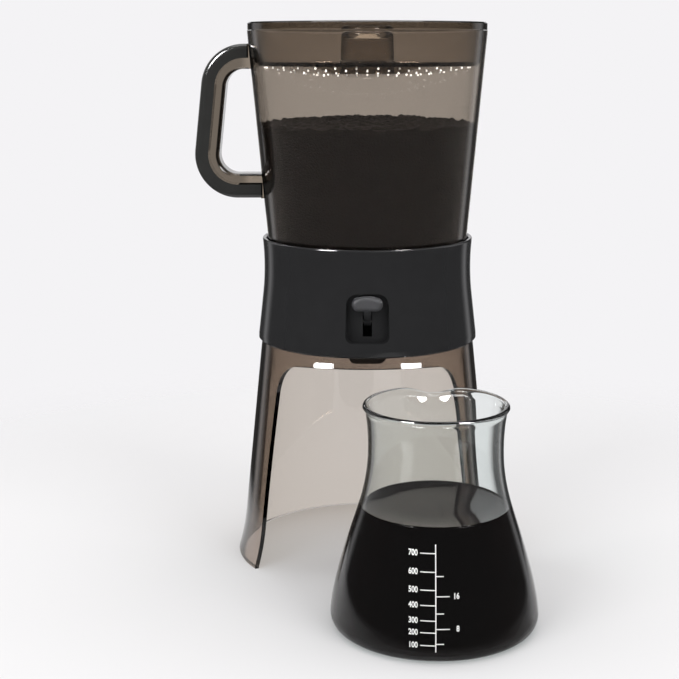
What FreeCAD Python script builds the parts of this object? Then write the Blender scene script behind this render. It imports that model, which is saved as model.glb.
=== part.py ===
"""Cold brew coffee maker, as a parametric document.

A smoky arched stand carries a black collar. A jug with a moulded handle nests in the collar and
drains through a filter and a plunger valve, which a T-shaped switch on the collar's front opens.
A perforated water tray covers the jug, and a glass carafe stands on the counter in front.

Millimetres. The origin is the stand's axis on the counter, +Z is up, the switch faces -Y and the
handle is on the -X side.
"""

import FreeCAD, Part
import math
import os

import Sketcher

os.makedirs("parts", exist_ok=True)
doc = FreeCAD.newDocument("cold_brew_maker")
Vector = FreeCAD.Vector

# ---------------------------------------------------------------- driving dimensions

DIMENSIONS = {
    # stand
    "arch_height": 153.4,
    "arch_crown": 2.0,
    "arch_band": 7.7,
    "arch_foot_angle": 57.3,
    "arch_half_angle": 56.3,
    "arch_straight": 55.0,
    "arch_shoulder_angle": 53.0,
    "arch_top_angle": 38.7,
    "arch_corner": 21.4,
    "skirt_wall": 3.4,
    "skirt_draft": 6.03,
    "foot_height": 30.0,
    "foot_flare": 2.5,
    "foot_rim": 1.5,
    "foot_bevel": 0.5,
    "skirt_gap": 0.5,
    "hem_ease": 0.8,
    "flange_wall": 2.5,
    "flange_width": 14.0,
    # collar
    "collar_radius": 75.4,
    "lip_wall": 2.8,
    "waist_drop": 21.5,
    "waist_depth": 0.9,
    "knee_rise": 4.5,
    "collar_flare": 3.7,
    "hem_height": 4.5,
    "hem_bevel": 1.3,
    "hem_draft": 0.1,
    "edge_wall": 1.8,
    "collar_wall": 2.3,
    "web_wall": 2.2,
    "boss_inset": 5.1,
    "boss_radius": 4.0,
    "lip_round": 1.1,
    "lip_bevel": 0.8,
    "nest_depth": 22.8,
    "nest_clearance": 0.95,
    # base plate and spout
    "plate_inset": 2.4,
    "plate_wall": 2.5,
    "spout_bore": 5.0,
    "spout_wall": 1.8,
    "spout_draft": 0.6,
    "spout_drop": 12.0,
    "spout_straight": 5.0,
    "spout_mouth": 17.0,
    "chin_width": 25.3,
    "chin_depth": 7.2,
    "chin_length": 18.0,
    "chin_round": 5.0,
    "chin_floor": 1.8,
    "plate_gap": 0.8,
    "screw_count": 4,
    "screw_radius": 1.5,
    "screw_head_radius": 3.2,
    "screw_head_height": 2.2,
    "screw_grip": 9.0,
    "screw_clearance": 0.3,
    # switch and lift
    "lever_reach": 20.6,
    "lever_angle": 45.0,
    "lever_sweep": 62.0,
    "lever_width": 5.0,
    "stem_height": 4.2,
    "hub_radius": 3.2,
    "nose_radius": 1.8,
    "pivot_radius": 1.5,
    "pivot_rise": 13.2,
    "paddle_width": 21.0,
    "paddle_height": 10.2,
    "paddle_depth": 8.0,
    "paddle_inset": 0.85,
    "paddle_round": 3.0,
    "paddle_bow": 1.0,
    "paddle_skin": 1.0,
    "recess_margin": 4.1,
    "recess_wall": 2.0,
    "recess_head": 1.3,
    "recess_sill": 1.5,
    "recess_top_round": 8.0,
    "recess_low_round": 5.0,
    "slot_drop": 9.1,
    "slot_rise": 14.4,
    "ear_wall": 3.0,
    "running_fit": 0.05,
    "side_gap": 0.6,
    "lift": 6.0,
    "arm_clearance": 1.3,
    "arm_thickness": 3.5,
    "arm_width": 5.6,
    "arm_headroom": 0.7,
    "pin_radius": 3.5,
    "pin_step": 0.5,
    "pin_bevel": 0.8,
    "guide_length": 5.0,
    "guide_wall": 1.95,
    # drain funnel
    "funnel_wall": 2.0,
    "funnel_flange": 11.0,
    "funnel_gap": 1.0,
    "outlet_radius": 11.0,
    "window_count": 3,
    "funnel_spoke": 2.2,
    # valve
    "valve_stem_radius": 2.5,
    "valve_foot_radius": 4.6,
    "valve_foot": 1.5,
    "valve_gap": 0.3,
    "valve_spring_length": 11.0,
    "valve_wire": 0.8,
    "valve_coils": 4,
    "cage_height": 3.0,
    "cage_spoke": 1.6,
    "cage_rim": 1.2,
    "cage_sleeve": 1.4,
    "neck_bore": 7.0,
    "valve_head_radius": 9.0,
    "valve_head": 2.0,
    "seal_height": 1.2,
    "seal_overhang": 0.5,
    "seat_step": 0.5,
    # jug
    "jug_wall": 2.4,
    "jug_draft": 5.0,
    "jug_height": 164.6,
    "floor_wall": 2.5,
    "floor_rise": 3.2,
    "floor_flat": 43.0,
    "floor_bevel": 2.4,
    "well_radius": 30.0,
    "handle_top": 8.9,
    "handle_span": 46.6,
    "handle_lean": 5.4,
    "handle_stand_off": 1.9,
    "handle_bend": 30.4,
    "grip_thickness": 9.7,
    "handle_thickness": 17.3,
    "handle_width": 22.0,
    "grip_round": 4.2,
    "core_round": 3.4,
    "grip_lap_top": 2.2,
    "grip_lap_bottom": 16.2,
    # filter
    "filter_flange": 4.0,
    "filter_flange_wall": 1.2,
    "gasket_wall": 1.8,
    "frame_wall": 2.9,
    "frame_ring": 1.5,
    "frame_hub": 3.0,
    "spoke_width": 2.4,
    "spoke_height": 2.0,
    "mesh_thickness": 0.6,
    "mesh_depth": 1.2,
    # water tray
    "tray_gap": 0.3,
    "tray_rim": 5.4,
    "tray_wall": 2.0,
    "tray_depth": 24.0,
    "tray_side_gap": 0.6,
    "tray_dish": 8.5,
    "knob_radius": 18.2,
    "knob_foot": 21.8,
    "knob_height": 30.5,
    "knob_round": 3.0,
    "rim_bevel": 0.9,
    "tray_heel": 1.8,
    "hole_radius": 1.2,
    "hole_inset": 7.2,
    "hole_circle_step": 9.0,
    "hole_count": 32,
    "hole_count_step": 4,
    "hole_rings": 5,
    # carafe
    "carafe_x": 43.6,
    "carafe_y": 143.0,
    "carafe_clearance": 6.0,
    "carafe_base": 67.8,
    "carafe_shoulder": 56.0,
    "carafe_neck": 42.8,
    "carafe_rim": 45.4,
    "carafe_heel": 10.5,
    "carafe_shoulder_height": 60.0,
    "carafe_neck_height": 114.0,
    "glass_wall": 2.4,
    "bead_radius": 1.3,
    "pour_lip": 5.5,
    "pour_radius": 20.0,
    "pour_root": 12.0,
    "pour_height": 27.0,
    "pour_dip": 6.0,
    "pour_width": 46.0,
}

sheet = doc.addObject("Spreadsheet::Sheet", "Sizes")
for row, (alias, number) in enumerate(DIMENSIONS.items(), start=1):
    sheet.set(f"A{row}", alias)
    sheet.set(f"B{row}", str(number))
    sheet.setAlias(f"B{row}", alias)
doc.recompute()


class Size:
    """A length or angle: its number, and the sheet expression that gives it."""

    def __init__(self, number, text):
        self.number = number
        self.text = text

    def __add__(self, other):
        other = as_size(other)
        return Size(self.number + other.number, f"({self.text} + {other.text})")

    def __radd__(self, other):
        return as_size(other) + self

    def __sub__(self, other):
        other = as_size(other)
        return Size(self.number - other.number, f"({self.text} - {other.text})")

    def __rsub__(self, other):
        return as_size(other) - self

    def __mul__(self, other):
        other = as_size(other)
        return Size(self.number * other.number, f"({self.text} * {other.text})")

    def __rmul__(self, other):
        return as_size(other) * self

    def __truediv__(self, other):
        other = as_size(other)
        return Size(self.number / other.number, f"({self.text} / {other.text})")

    def __rtruediv__(self, other):
        return as_size(other) / self

    def __neg__(self):
        return 0 - self


def as_size(value):
    return value if isinstance(value, Size) else Size(float(value), f"{float(value):.6f}")


def dim(alias):
    """The cell of that alias."""
    return Size(float(sheet.get(alias)), f"Sizes.{alias}")


def sine(angle):
    return Size(math.sin(math.radians(angle.number)), f"sin({angle.text})")


def cosine(angle):
    return Size(math.cos(math.radians(angle.number)), f"cos({angle.text})")


def tangent(angle):
    return Size(math.tan(math.radians(angle.number)), f"tan({angle.text})")


def root(value):
    return Size(math.sqrt(value.number), f"sqrt({value.text})")


# ---------------------------------------------------------------- modelling helpers


def bind(item, name, value):
    """Sets a property and ties it to the sheet."""
    value = as_size(value)
    item.setExpression(name, value.text)


def new_body(label):
    body = doc.addObject("PartDesign::Body", label)
    body.Label = label
    return body


def origin_item(body, role):
    return next(item for item in body.Origin.OriginFeatures if item.Role == role)


def new_sketch(body, plane, lift=None):
    """An empty sketch on one of the body's origin planes, raised along the plane's normal."""
    sketch = body.newObject("Sketcher::SketchObject", f"{body.Label}_sketch")
    sketch.AttachmentSupport = [(origin_item(body, plane), "")]
    sketch.MapMode = "FlatFace"
    if lift is not None:
        bind(sketch, "AttachmentOffset.Base.z", lift)
    return sketch


def pin_point(sketch, geometry, end, point):
    """Holds one end of a sketch element at a point given from the sketch's origin."""
    for kind, axis, value in (("DistanceX", -2, point[0]), ("DistanceY", -1, point[1])):
        value = as_size(value)
        if abs(value.number) < 1e-9:
            sketch.addConstraint(Sketcher.Constraint("PointOnObject", geometry, end, axis))
            continue
        index = sketch.addConstraint(Sketcher.Constraint(kind, -1, 1, geometry, end, value.number))
        sketch.setExpression(f"Constraints[{index}]", value.text)


def flat(point):
    return Vector(as_size(point[0]).number, as_size(point[1]).number, 0)


def outline(sketch, corners):
    """A closed outline. A corner is (u, v), or ("arc", middle, end) for an arc through middle."""
    ends = [corner[2] if corner[0] == "arc" else corner for corner in corners]
    elements = []
    for index, corner in enumerate(corners):
        start = ends[index - 1]
        if corner[0] == "arc":
            curve = Part.Arc(flat(start), flat(corner[1]), flat(corner[2]))
            element = sketch.addGeometry(curve)
            forwards = sketch.getPoint(element, 1).distanceToPoint(flat(start)) < 1e-6
            middle = sketch.addGeometry(Part.Point(flat(corner[1])), True)
            sketch.addConstraint(Sketcher.Constraint("PointOnObject", middle, 1, element))
            pin_point(sketch, middle, 1, corner[1])
        else:
            element = sketch.addGeometry(Part.LineSegment(flat(start), flat(corner)))
            forwards = True
        elements.append((element, 1 if forwards else 2, 2 if forwards else 1))
    for index, (element, first, last) in enumerate(elements):
        before, _, before_last = elements[index - 1]
        sketch.addConstraint(Sketcher.Constraint("Coincident", before, before_last, element, first))
        pin_point(sketch, element, last, ends[index])


def circle(sketch, centre, radius):
    radius = as_size(radius)
    element = sketch.addGeometry(Part.Circle(flat(centre), Vector(0, 0, 1), radius.number))
    pin_point(sketch, element, 3, centre)
    index = sketch.addConstraint(Sketcher.Constraint("Radius", element, radius.number))
    sketch.setExpression(f"Constraints[{index}]", radius.text)


def add_feature(body, kind, sketch, **settings):
    """A feature on a sketch. Lengths and angles are tied to the sheet."""
    feature = body.newObject(f"PartDesign::{kind}", f"{body.Label}_{kind.lower()}")
    feature.Profile = sketch
    for name, value in settings.items():
        if isinstance(value, (Size, int, float)) and not isinstance(value, bool):
            bind(feature, name, value)
        else:
            setattr(feature, name, value)
    doc.recompute()
    return feature


def turn(body, corners, plane="XZ_Plane", kind="Revolution", **settings):
    """Turns an outline, given as radius and height, about the vertical axis."""
    sketch = new_sketch(body, plane)
    outline(sketch, corners)
    return add_feature(body, kind, sketch, ReferenceAxis=(sketch, ["V_Axis"]), **settings)


def extrude(body, draw, plane, length, kind="Pad", lift=None, symmetric=False, reverse=False):
    """Pads or pockets what draw puts in a sketch."""
    sketch = new_sketch(body, plane, lift)
    draw(sketch)
    side = "Symmetric" if symmetric else "One side"
    return add_feature(body, kind, sketch, Length=length, SideType=side, Reversed=reverse)


def around(body, features, count):
    """Repeats features evenly about the vertical axis."""
    pattern = body.newObject("PartDesign::PolarPattern", f"{body.Label}_pattern")
    pattern.Originals = features
    pattern.Axis = (origin_item(body, "Z_Axis"), [""])
    pattern.Angle = 360
    bind(pattern, "Occurrences", count)
    body.Tip = pattern
    doc.recompute()
    return pattern


def round_edges(body, radius, wanted):
    """Rounds the edges of the body's last feature that wanted picks."""
    edges = body.Tip.Shape.Edges
    names = [f"Edge{index}" for index, edge in enumerate(edges, start=1) if wanted(edge)]
    if not names:
        raise ValueError(f"{body.Label}: no edge to round")
    base = body.Tip
    fillet = body.newObject("PartDesign::Fillet", f"{body.Label}_fillet")
    fillet.Base = (base, names)
    bind(fillet, "Radius", radius)
    doc.recompute()
    return fillet


def rectangle(left, bottom, right, top):
    return lambda sketch: outline(sketch, [(right, bottom), (right, top), (left, top), (left, bottom)])


def polygon(corners):
    return lambda sketch: outline(sketch, corners)


def disc(centre, radius):
    return lambda sketch: circle(sketch, centre, radius)


# ---------------------------------------------------------------- heights, from the counter up

collar_bottom = dim("arch_height") + dim("arch_band")
plate_bottom = collar_bottom + dim("plate_inset")
plate_top = plate_bottom + dim("plate_wall")
flange_top = plate_top + dim("flange_wall")
arm_bottom = plate_top + dim("arm_clearance")
arm_top = arm_bottom + dim("arm_thickness")
guide_bottom = arm_top + dim("lift") + dim("arm_headroom")
guide_top = guide_bottom + dim("guide_length")
pin_top = guide_top + 2 * dim("running_fit") + dim("spout_wall")
stem_bottom = pin_top + dim("valve_gap")
foot_top = stem_bottom + dim("valve_foot")
cage_bottom = foot_top + dim("valve_spring_length")
cage_top = cage_bottom + dim("cage_height")
seat_height = cage_top + dim("seat_step")
neck_bottom = foot_top
well_bottom = seat_height - dim("floor_wall")
seal_bottom = seat_height + dim("valve_gap")
head_bottom = seal_bottom + dim("seal_height")
head_top = head_bottom + dim("valve_head")
spoke_bottom = head_top + dim("lift") + dim("seat_step")
mesh_bottom = spoke_bottom + dim("spoke_height")
floor_top = mesh_bottom + dim("mesh_thickness") + dim("mesh_depth")
floor_bottom = floor_top - dim("floor_wall")
seat_flange_top = floor_bottom - dim("valve_gap")
seat_flange_bottom = seat_flange_top - dim("funnel_wall")
collar_top = floor_bottom + dim("nest_depth")
rim_height = floor_top + dim("jug_height")

# ---------------------------------------------------------------- radii that pieces share

collar_radius = dim("collar_radius")
nest_radius = collar_radius - dim("lip_wall")
jug_at_lip = nest_radius - dim("nest_clearance")
collar_base = collar_radius + dim("collar_flare")
skirt_at_collar = collar_base - dim("edge_wall") - dim("skirt_gap")
funnel_inside = dim("well_radius") + dim("funnel_gap")
funnel_outside = funnel_inside + dim("funnel_wall")
guide_bore = dim("pin_radius") + dim("running_fit")
screw_turn = 180 / dim("screw_count")


def jug_radius(height):
    """Outside of the jug's cone at a height."""
    return jug_at_lip + (height - collar_top) * tangent(dim("jug_draft"))


def skirt_radius(height):
    """Outside of the skirt's cone at a height, without the foot's flare."""
    return skirt_at_collar + (collar_bottom - height) * tangent(dim("skirt_draft"))


def skirt_inside(height):
    return skirt_radius(height) - dim("skirt_wall")


plate_edge = skirt_inside(plate_top) - dim("plate_gap")
screw_circle = plate_edge - dim("boss_inset")
screw_place = (screw_circle * cosine(screw_turn), screw_circle * sine(screw_turn))


# ---------------------------------------------------------------- the switch's places

half_sweep = dim("lever_sweep") / 2
paddle_y = -(collar_radius - dim("paddle_inset"))
pivot_y = paddle_y + dim("lever_reach") * cosine(dim("lever_angle"))
pivot_z = arm_top + dim("pivot_rise")
paddle_z = pivot_z + dim("lever_reach") * sine(dim("lever_angle"))
paddle_low_z = pivot_z + dim("lever_reach") * sine(dim("lever_angle") - dim("lever_sweep"))
crank = dim("lift") / (2 * sine(half_sweep))
nose_y = pivot_y + crank * cosine(half_sweep)
nose_z = pivot_z - crank * sine(half_sweep)
pad_bottom = nose_z + dim("nose_radius") + dim("valve_gap")
recess_floor = -(paddle_y + dim("paddle_depth") / 2 + dim("side_gap"))
recess_back = recess_floor - dim("recess_wall")
recess_top = paddle_z + dim("paddle_height") / 2 + dim("recess_head")
recess_bottom = paddle_low_z - dim("paddle_height") / 2 - dim("recess_sill")
recess_half = dim("paddle_width") / 2 + dim("recess_margin")
slot_half = dim("lever_width") / 2 + dim("side_gap")
slot_bottom = pivot_z - dim("slot_drop")
slot_top = pivot_z + dim("slot_rise")

# ---------------------------------------------------------------- stand


def make_skirt():
    """Smoky moulded skirt: a drafted bell with a flared foot, a top flange and an open arch."""
    body = new_body("stand_skirt")
    foot, rim = dim("foot_height"), dim("foot_rim")
    wall, bevel = dim("skirt_wall"), dim("foot_bevel")
    foot_radius = skirt_radius(as_size(0)) + dim("foot_flare")
    flare_bow = 0.25
    flare_z = (foot + rim) / 2
    flare_radius = skirt_radius(flare_z) + dim("foot_flare") * flare_bow
    inner_flange = skirt_radius(flange_top) - dim("flange_width")
    turn(body, [
        (foot_radius - wall, 0),
        (foot_radius - bevel, 0),
        (foot_radius, bevel),
        (foot_radius, rim),
        ("arc", (flare_radius, flare_z), (skirt_radius(foot), foot)),
        (skirt_radius(flange_top), flange_top),
        (inner_flange, flange_top),
        (inner_flange, plate_top),
        (skirt_inside(plate_top), plate_top),
        (skirt_inside(foot), foot),
        ("arc", (flare_radius - wall, flare_z), (foot_radius - wall, rim)),
    ])
    side_bow, corner_bow, corner_rise = 0.41, 0.37, 0.71

    def arch(sketch, distance):
        """The arch's outline, as the stand's axis sees it at that distance in front."""
        at_foot = distance * tangent(dim("arch_foot_angle"))
        low = distance * tangent(dim("arch_half_angle"))
        high = distance * tangent(dim("arch_shoulder_angle"))
        top_edge = distance * tangent(dim("arch_top_angle"))
        corner, straight = dim("arch_corner"), dim("arch_straight")
        corner_top = dim("arch_height") - dim("arch_crown")
        shoulder = corner_top - corner
        side_mid = (low - (low - high) * side_bow, (straight + shoulder) / 2)
        bend = (high - (high - top_edge) * corner_bow, shoulder + corner * corner_rise)
        outline(sketch, [
            (at_foot, -1),
            (low, straight),
            ("arc", side_mid, (high, shoulder)),
            ("arc", bend, (top_edge, corner_top)),
            ("arc", (0, dim("arch_height")), (-top_edge, corner_top)),
            ("arc", (-bend[0], bend[1]), (-high, shoulder)),
            ("arc", (-side_mid[0], side_mid[1]), (-low, straight)),
            (-at_foot, -1),
        ])

    near, far = collar_radius * 0.5, collar_radius * 1.5
    sketches = []
    for distance in (near, far):
        sketch = new_sketch(body, "XZ_Plane", distance)
        arch(sketch, distance)
        sketches.append(sketch)
    loft = body.newObject("PartDesign::SubtractiveLoft", "stand_skirt_arch")
    loft.Profile = sketches[0]
    loft.Sections = [sketches[1]]
    loft.Ruled = True
    doc.recompute()
    # the switch's recess and the plate's front well pass through the top of the skirt here
    notch = recess_half + dim("recess_wall") + dim("recess_sill")
    extrude(body, rectangle(-notch, plate_bottom, notch, flange_top + 1), "XZ_Plane", far,
            kind="Pocket", reverse=True)
    extrude(body, disc(screw_place, dim("screw_radius") + dim("screw_clearance")), "XY_Plane",
            flange_top + 1, kind="Pocket", reverse=True)
    around(body, [body.Tip], dim("screw_count"))
    return body


def make_collar():
    """Gloss collar: a waisted shell with a web, screw bosses, a switch recess and pivot ears."""
    body = new_body("collar_shell")
    web = dim("web_wall")
    waist = collar_top - dim("waist_drop")
    waist_radius = collar_radius - dim("waist_depth")
    knee = collar_top - 2 * dim("waist_drop") + dim("knee_rise")
    knee_radius = collar_radius + dim("hem_draft")
    hem = collar_bottom + dim("hem_height")
    hem_radius = collar_base - dim("hem_draft")
    web_open = funnel_outside + dim("valve_gap")
    web_slope = dim("floor_rise") + dim("valve_gap")
    web_rim = nest_radius - dim("waist_depth") / 2
    bevel, lip = dim("hem_bevel"), dim("lip_round")
    bow = lip * (1 - math.sqrt(0.5))
    turn(body, [
        (collar_base - bevel, collar_bottom),
        (collar_base, collar_bottom + bevel),
        (hem_radius, hem),
        (knee_radius, knee),
        ("arc", (waist_radius, waist), (collar_radius, collar_top - lip)),
        ("arc", (collar_radius - bow, collar_top - bow), (collar_radius - lip, collar_top)),
        (nest_radius + dim("lip_bevel"), collar_top),
        (nest_radius, collar_top - dim("lip_bevel")),
        (web_rim, seat_flange_bottom + web_slope),
        (web_open + dim("funnel_flange"), seat_flange_bottom),
        (web_open, seat_flange_bottom),
        (web_open, seat_flange_bottom - web),
        (web_open + dim("funnel_flange"), seat_flange_bottom - web),
        (waist_radius - dim("collar_wall"), seat_flange_bottom + web_slope - web),
        (knee_radius - dim("collar_wall"), knee),
        (hem_radius - dim("edge_wall"), hem + dim("hem_ease")),
        (collar_base - dim("edge_wall"), collar_bottom),
    ])

    # the bucket behind the recess is a sector turned about the collar's axis, and its edges
    # lie half way into the shell's wall and the web
    bucket_bottom = recess_bottom - dim("recess_wall")
    bucket_top = seat_flange_bottom - web / 2
    inset = dim("edge_wall") / 2
    bucket_angle = 2 * (recess_half + dim("recess_wall")) / collar_radius * 180 / math.pi
    turn(body, [
        (-recess_back, bucket_bottom),
        (-recess_back, bucket_top),
        (-(waist_radius - inset), bucket_top),
        (-(knee_radius - inset), knee),
        (-(hem_radius - inset), bucket_bottom),
    ], plane="YZ_Plane", Angle=bucket_angle, Midplane=True)
    recess_angle = 2 * recess_half / collar_radius * 180 / math.pi
    beyond = collar_base + dim("recess_wall")
    turn(body, [
        (-recess_floor, recess_bottom),
        (-recess_floor, recess_top),
        (-beyond, recess_top),
        (-beyond, recess_bottom),
    ], plane="YZ_Plane", kind="Groove", Angle=recess_angle, Midplane=True)

    def recess_corner(height):
        level = height.number

        def wanted(edge):
            ends = [vertex.Point for vertex in edge.Vertexes]
            if len(ends) != 2 or any(abs(end.z - level) > 0.01 for end in ends):
                return False
            run = ends[1] - ends[0]
            radial = abs(math.hypot(*ends[0][:2]) - math.hypot(*ends[1][:2]))
            in_front = ends[0].y < 0 and abs(ends[0].x) < recess_half.number + dim("recess_wall").number
            return in_front and radial > dim("edge_wall").number / 2 and abs(radial - run.Length) < 0.1

        return wanted

    round_edges(body, dim("recess_top_round"), recess_corner(recess_top))
    round_edges(body, dim("recess_low_round"), recess_corner(recess_bottom))

    # ears for the pivot pin, standing on the bucket's back
    ear_half = slot_half + dim("ear_wall")
    ear_round = dim("hub_radius") + dim("valve_gap")
    root_y = -(recess_back + dim("recess_wall") / 2)
    extrude(body, polygon([
        (root_y, pivot_z - ear_round),
        (pivot_y, pivot_z - ear_round),
        ("arc", (pivot_y + ear_round, pivot_z), (pivot_y, pivot_z + ear_round)),
        (root_y, pivot_z + ear_round),
    ]), "YZ_Plane", 2 * ear_half, symmetric=True)
    extrude(body, rectangle(-(recess_floor + 1), slot_bottom, nose_y + ear_round, slot_top),
            "YZ_Plane", 2 * slot_half, kind="Pocket", symmetric=True)
    extrude(body, disc((pivot_y, pivot_z), dim("pivot_radius")), "YZ_Plane", 2 * ear_half + 2,
            kind="Pocket", symmetric=True)

    # bosses hang from the web to take the skirt's flange
    boss_top = seat_flange_bottom + web_slope / 2
    extrude(body, disc(screw_place, dim("boss_radius")), "XY_Plane",
            boss_top - flange_top, lift=flange_top)
    boss = body.Tip
    extrude(body, disc(screw_place, dim("screw_radius")), "XY_Plane",
            dim("screw_grip") + 1, kind="Pocket", lift=flange_top, reverse=True)
    around(body, [boss, body.Tip], dim("screw_count"))
    return body


def make_funnel():
    """Drain funnel: it drops into the web, rings the jug's well and guides the lift pin."""
    body = new_body("drain_funnel")
    wall = dim("funnel_wall")
    mouth = dim("outlet_radius")
    sleeve = guide_bore + dim("guide_wall")
    disc_top = guide_top - wall / 2
    cone_bottom = guide_top + wall
    flange_edge = funnel_outside + dim("funnel_flange") - dim("funnel_gap")
    turn(body, [
        (guide_bore, guide_bottom),
        (mouth + wall, guide_bottom),
        (mouth + wall, cone_bottom - wall / 2),
        (funnel_outside, well_bottom - wall),
        (funnel_outside, seat_flange_bottom),
        (flange_edge, seat_flange_bottom),
        (flange_edge, seat_flange_top),
        (funnel_inside, seat_flange_top),
        (funnel_inside, well_bottom - 2 * dim("valve_gap")),
        (mouth, cone_bottom),
        (mouth, disc_top),
        (sleeve, disc_top),
        (sleeve, guide_top),
        (guide_bore, guide_top),
    ])
    cut_windows(body, sleeve, mouth, guide_bottom, disc_top, dim("funnel_spoke"))
    return body


def cut_windows(body, inner, outer, bottom, top, spoke):
    """Cuts flow windows between spokes of a given width out of a disc from bottom to top."""
    sector = 360 / dim("window_count")
    gap = spoke / 2
    out_along = root(outer * outer - gap * gap)
    in_along = root(inner * inner - gap * gap)
    middle_x, middle_y = cosine(sector / 2), sine(sector / 2)

    def beside_next(along):
        """A point on the next spoke's near side."""
        return (along * cosine(sector) + gap * sine(sector), along * sine(sector) - gap * cosine(sector))

    extrude(body, polygon([
        (out_along, gap),
        ("arc", (outer * middle_x, outer * middle_y), beside_next(out_along)),
        beside_next(in_along),
        ("arc", (inner * middle_x, inner * middle_y), (in_along, gap)),
    ]), "XY_Plane", top - bottom + 2, kind="Pocket", lift=bottom - 1, reverse=True)
    around(body, [body.Tip], dim("window_count"))


def make_plate():
    """Base plate: closes the collar from below and holds the spout and the front well."""
    body = new_body("base_plate")
    wall = dim("plate_wall")
    bore = dim("spout_bore")
    tip = plate_bottom - dim("spout_drop")
    straight = tip + dim("spout_straight")
    mouth = dim("spout_mouth")
    turn(body, [
        (bore, tip),
        (bore + dim("spout_wall"), tip),
        (bore + dim("spout_wall") + dim("spout_draft"), straight),
        (mouth - dim("spout_wall") / 2, plate_bottom),
        (plate_edge, plate_bottom),
        (plate_edge, plate_top),
        (mouth, plate_top),
        (bore, straight + dim("spout_wall") / 2),
    ])
    # the chin under the switch, where the lever's arm hooks round
    half = dim("chin_width") / 2
    front = -root(plate_edge * plate_edge - half * half)
    back = front + dim("chin_length")
    chin_bottom = plate_bottom - dim("chin_depth")
    bend = dim("chin_round")
    bow = bend * (1 - math.sqrt(0.5))
    extrude(body, polygon([
        (half, plate_bottom + wall / 2),
        (-half, plate_bottom + wall / 2),
        (-half, chin_bottom + bend),
        ("arc", (bow - half, chin_bottom + bow), (bend - half, chin_bottom)),
        (half - bend, chin_bottom),
        ("arc", (half - bow, chin_bottom + bow), (half, chin_bottom + bend)),
    ]), "XZ_Plane", dim("chin_length"), lift=-back)
    well_floor = chin_bottom + dim("chin_floor")
    extrude(body, rectangle(-(half - wall), front + wall, half - wall, back - wall), "XY_Plane",
            plate_top + 1 - well_floor, kind="Pocket", lift=well_floor, reverse=True)
    extrude(body, disc(screw_place, dim("screw_radius") + dim("screw_clearance")), "XY_Plane",
            wall + 2, kind="Pocket", lift=plate_bottom - 1, reverse=True)
    around(body, [body.Tip], dim("screw_count"))
    return body


def make_screws():
    """Pan-head screws that clamp the plate and the skirt's flange to the collar."""
    body = new_body("base_screws")
    under_head = plate_bottom - dim("screw_head_height")
    extrude(body, disc(screw_place, dim("screw_head_radius")), "XY_Plane",
            dim("screw_head_height"), lift=under_head)
    head = body.Tip
    extrude(body, disc(screw_place, dim("screw_radius") - dim("running_fit")), "XY_Plane",
            flange_top + dim("screw_grip") - plate_bottom, lift=plate_bottom)
    around(body, [head, body.Tip], dim("screw_count"))
    return body


# ---------------------------------------------------------------- switch and lift


def stem_outline(inner):
    """The lever's stem from its end in the paddle back to a distance from the pivot."""
    angle = dim("lever_angle")
    side = dim("stem_height") / 2
    end = dim("lever_reach") - dim("paddle_skin")

    def beside(along, across):
        """A point along and beside the stem, which rises forwards from the pivot."""
        return (pivot_y - along * cosine(angle) + across * sine(angle),
                pivot_z + along * sine(angle) + across * cosine(angle))

    return [beside(end, side), beside(inner, side), beside(inner, -side), beside(end, -side)]


def make_lever():
    """Switch lever: a blade from the paddle's core through the slot to the hub and its nose."""
    body = new_body("switch_lever")
    extrude(body, polygon(stem_outline(as_size(0))), "YZ_Plane", dim("lever_width"), symmetric=True)
    extrude(body, disc((pivot_y, pivot_z), dim("hub_radius")), "YZ_Plane", dim("lever_width"),
            symmetric=True)
    web = dim("nose_radius") - dim("side_gap")
    across_y, across_z = web * sine(half_sweep), web * cosine(half_sweep)
    extrude(body, polygon([
        (pivot_y - across_y, pivot_z - across_z),
        (nose_y - across_y, nose_z - across_z),
        (nose_y + across_y, nose_z + across_z),
        (pivot_y + across_y, pivot_z + across_z),
    ]), "YZ_Plane", dim("lever_width"), symmetric=True)
    extrude(body, disc((nose_y, nose_z), dim("nose_radius")), "YZ_Plane", dim("lever_width"),
            symmetric=True)
    extrude(body, disc((pivot_y, pivot_z), dim("pivot_radius") + dim("running_fit")), "YZ_Plane",
            dim("lever_width") + 2, kind="Pocket", symmetric=True)
    return body


def make_paddle():
    """Soft paddle moulded over the lever's end: a pillow with full ends and a bowed top."""
    body = new_body("switch_paddle")
    half, height = dim("paddle_width") / 2, dim("paddle_height")
    top, bottom = paddle_z + height / 2, paddle_z - height / 2
    end = (height - dim("paddle_bow")) / 2
    end_x, end_z = half - end, bottom + end
    # the top's large arc runs into both end arcs without a corner
    crown = height / 2 + end_x * end_x / (2 * dim("paddle_bow"))
    spread = crown - end
    touch_x = end_x + end * end_x / spread
    touch_z = end_z + end * (end_z - top + crown) / spread
    extrude(body, polygon([
        (end_x, bottom),
        ("arc", (half, end_z), (touch_x, touch_z)),
        ("arc", (0, top), (-touch_x, touch_z)),
        ("arc", (-half, end_z), (-end_x, bottom)),
    ]), "XZ_Plane", dim("paddle_depth"), lift=-paddle_y - dim("paddle_depth") / 2)
    faces = [(paddle_y + side * dim("paddle_depth") / 2).number for side in (-1, 1)]
    round_edges(body, dim("paddle_round"), lambda edge: (
        edge.BoundBox.YLength < 1e-3 and min(abs(edge.BoundBox.YMin - face) for face in faces) < 1e-3))
    # the socket that the lever's end fills
    extrude(body, polygon(stem_outline(dim("lever_reach") - dim("paddle_height"))), "YZ_Plane",
            dim("lever_width"), kind="Pocket", symmetric=True)
    return body


def make_pivot_pin():
    """Steel pin through the ears and the lever's hub."""
    body = new_body("pivot_pin")
    extrude(body, disc((pivot_y, pivot_z), dim("pivot_radius")), "YZ_Plane",
            2 * (slot_half + dim("ear_wall")), symmetric=True)
    return body


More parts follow.
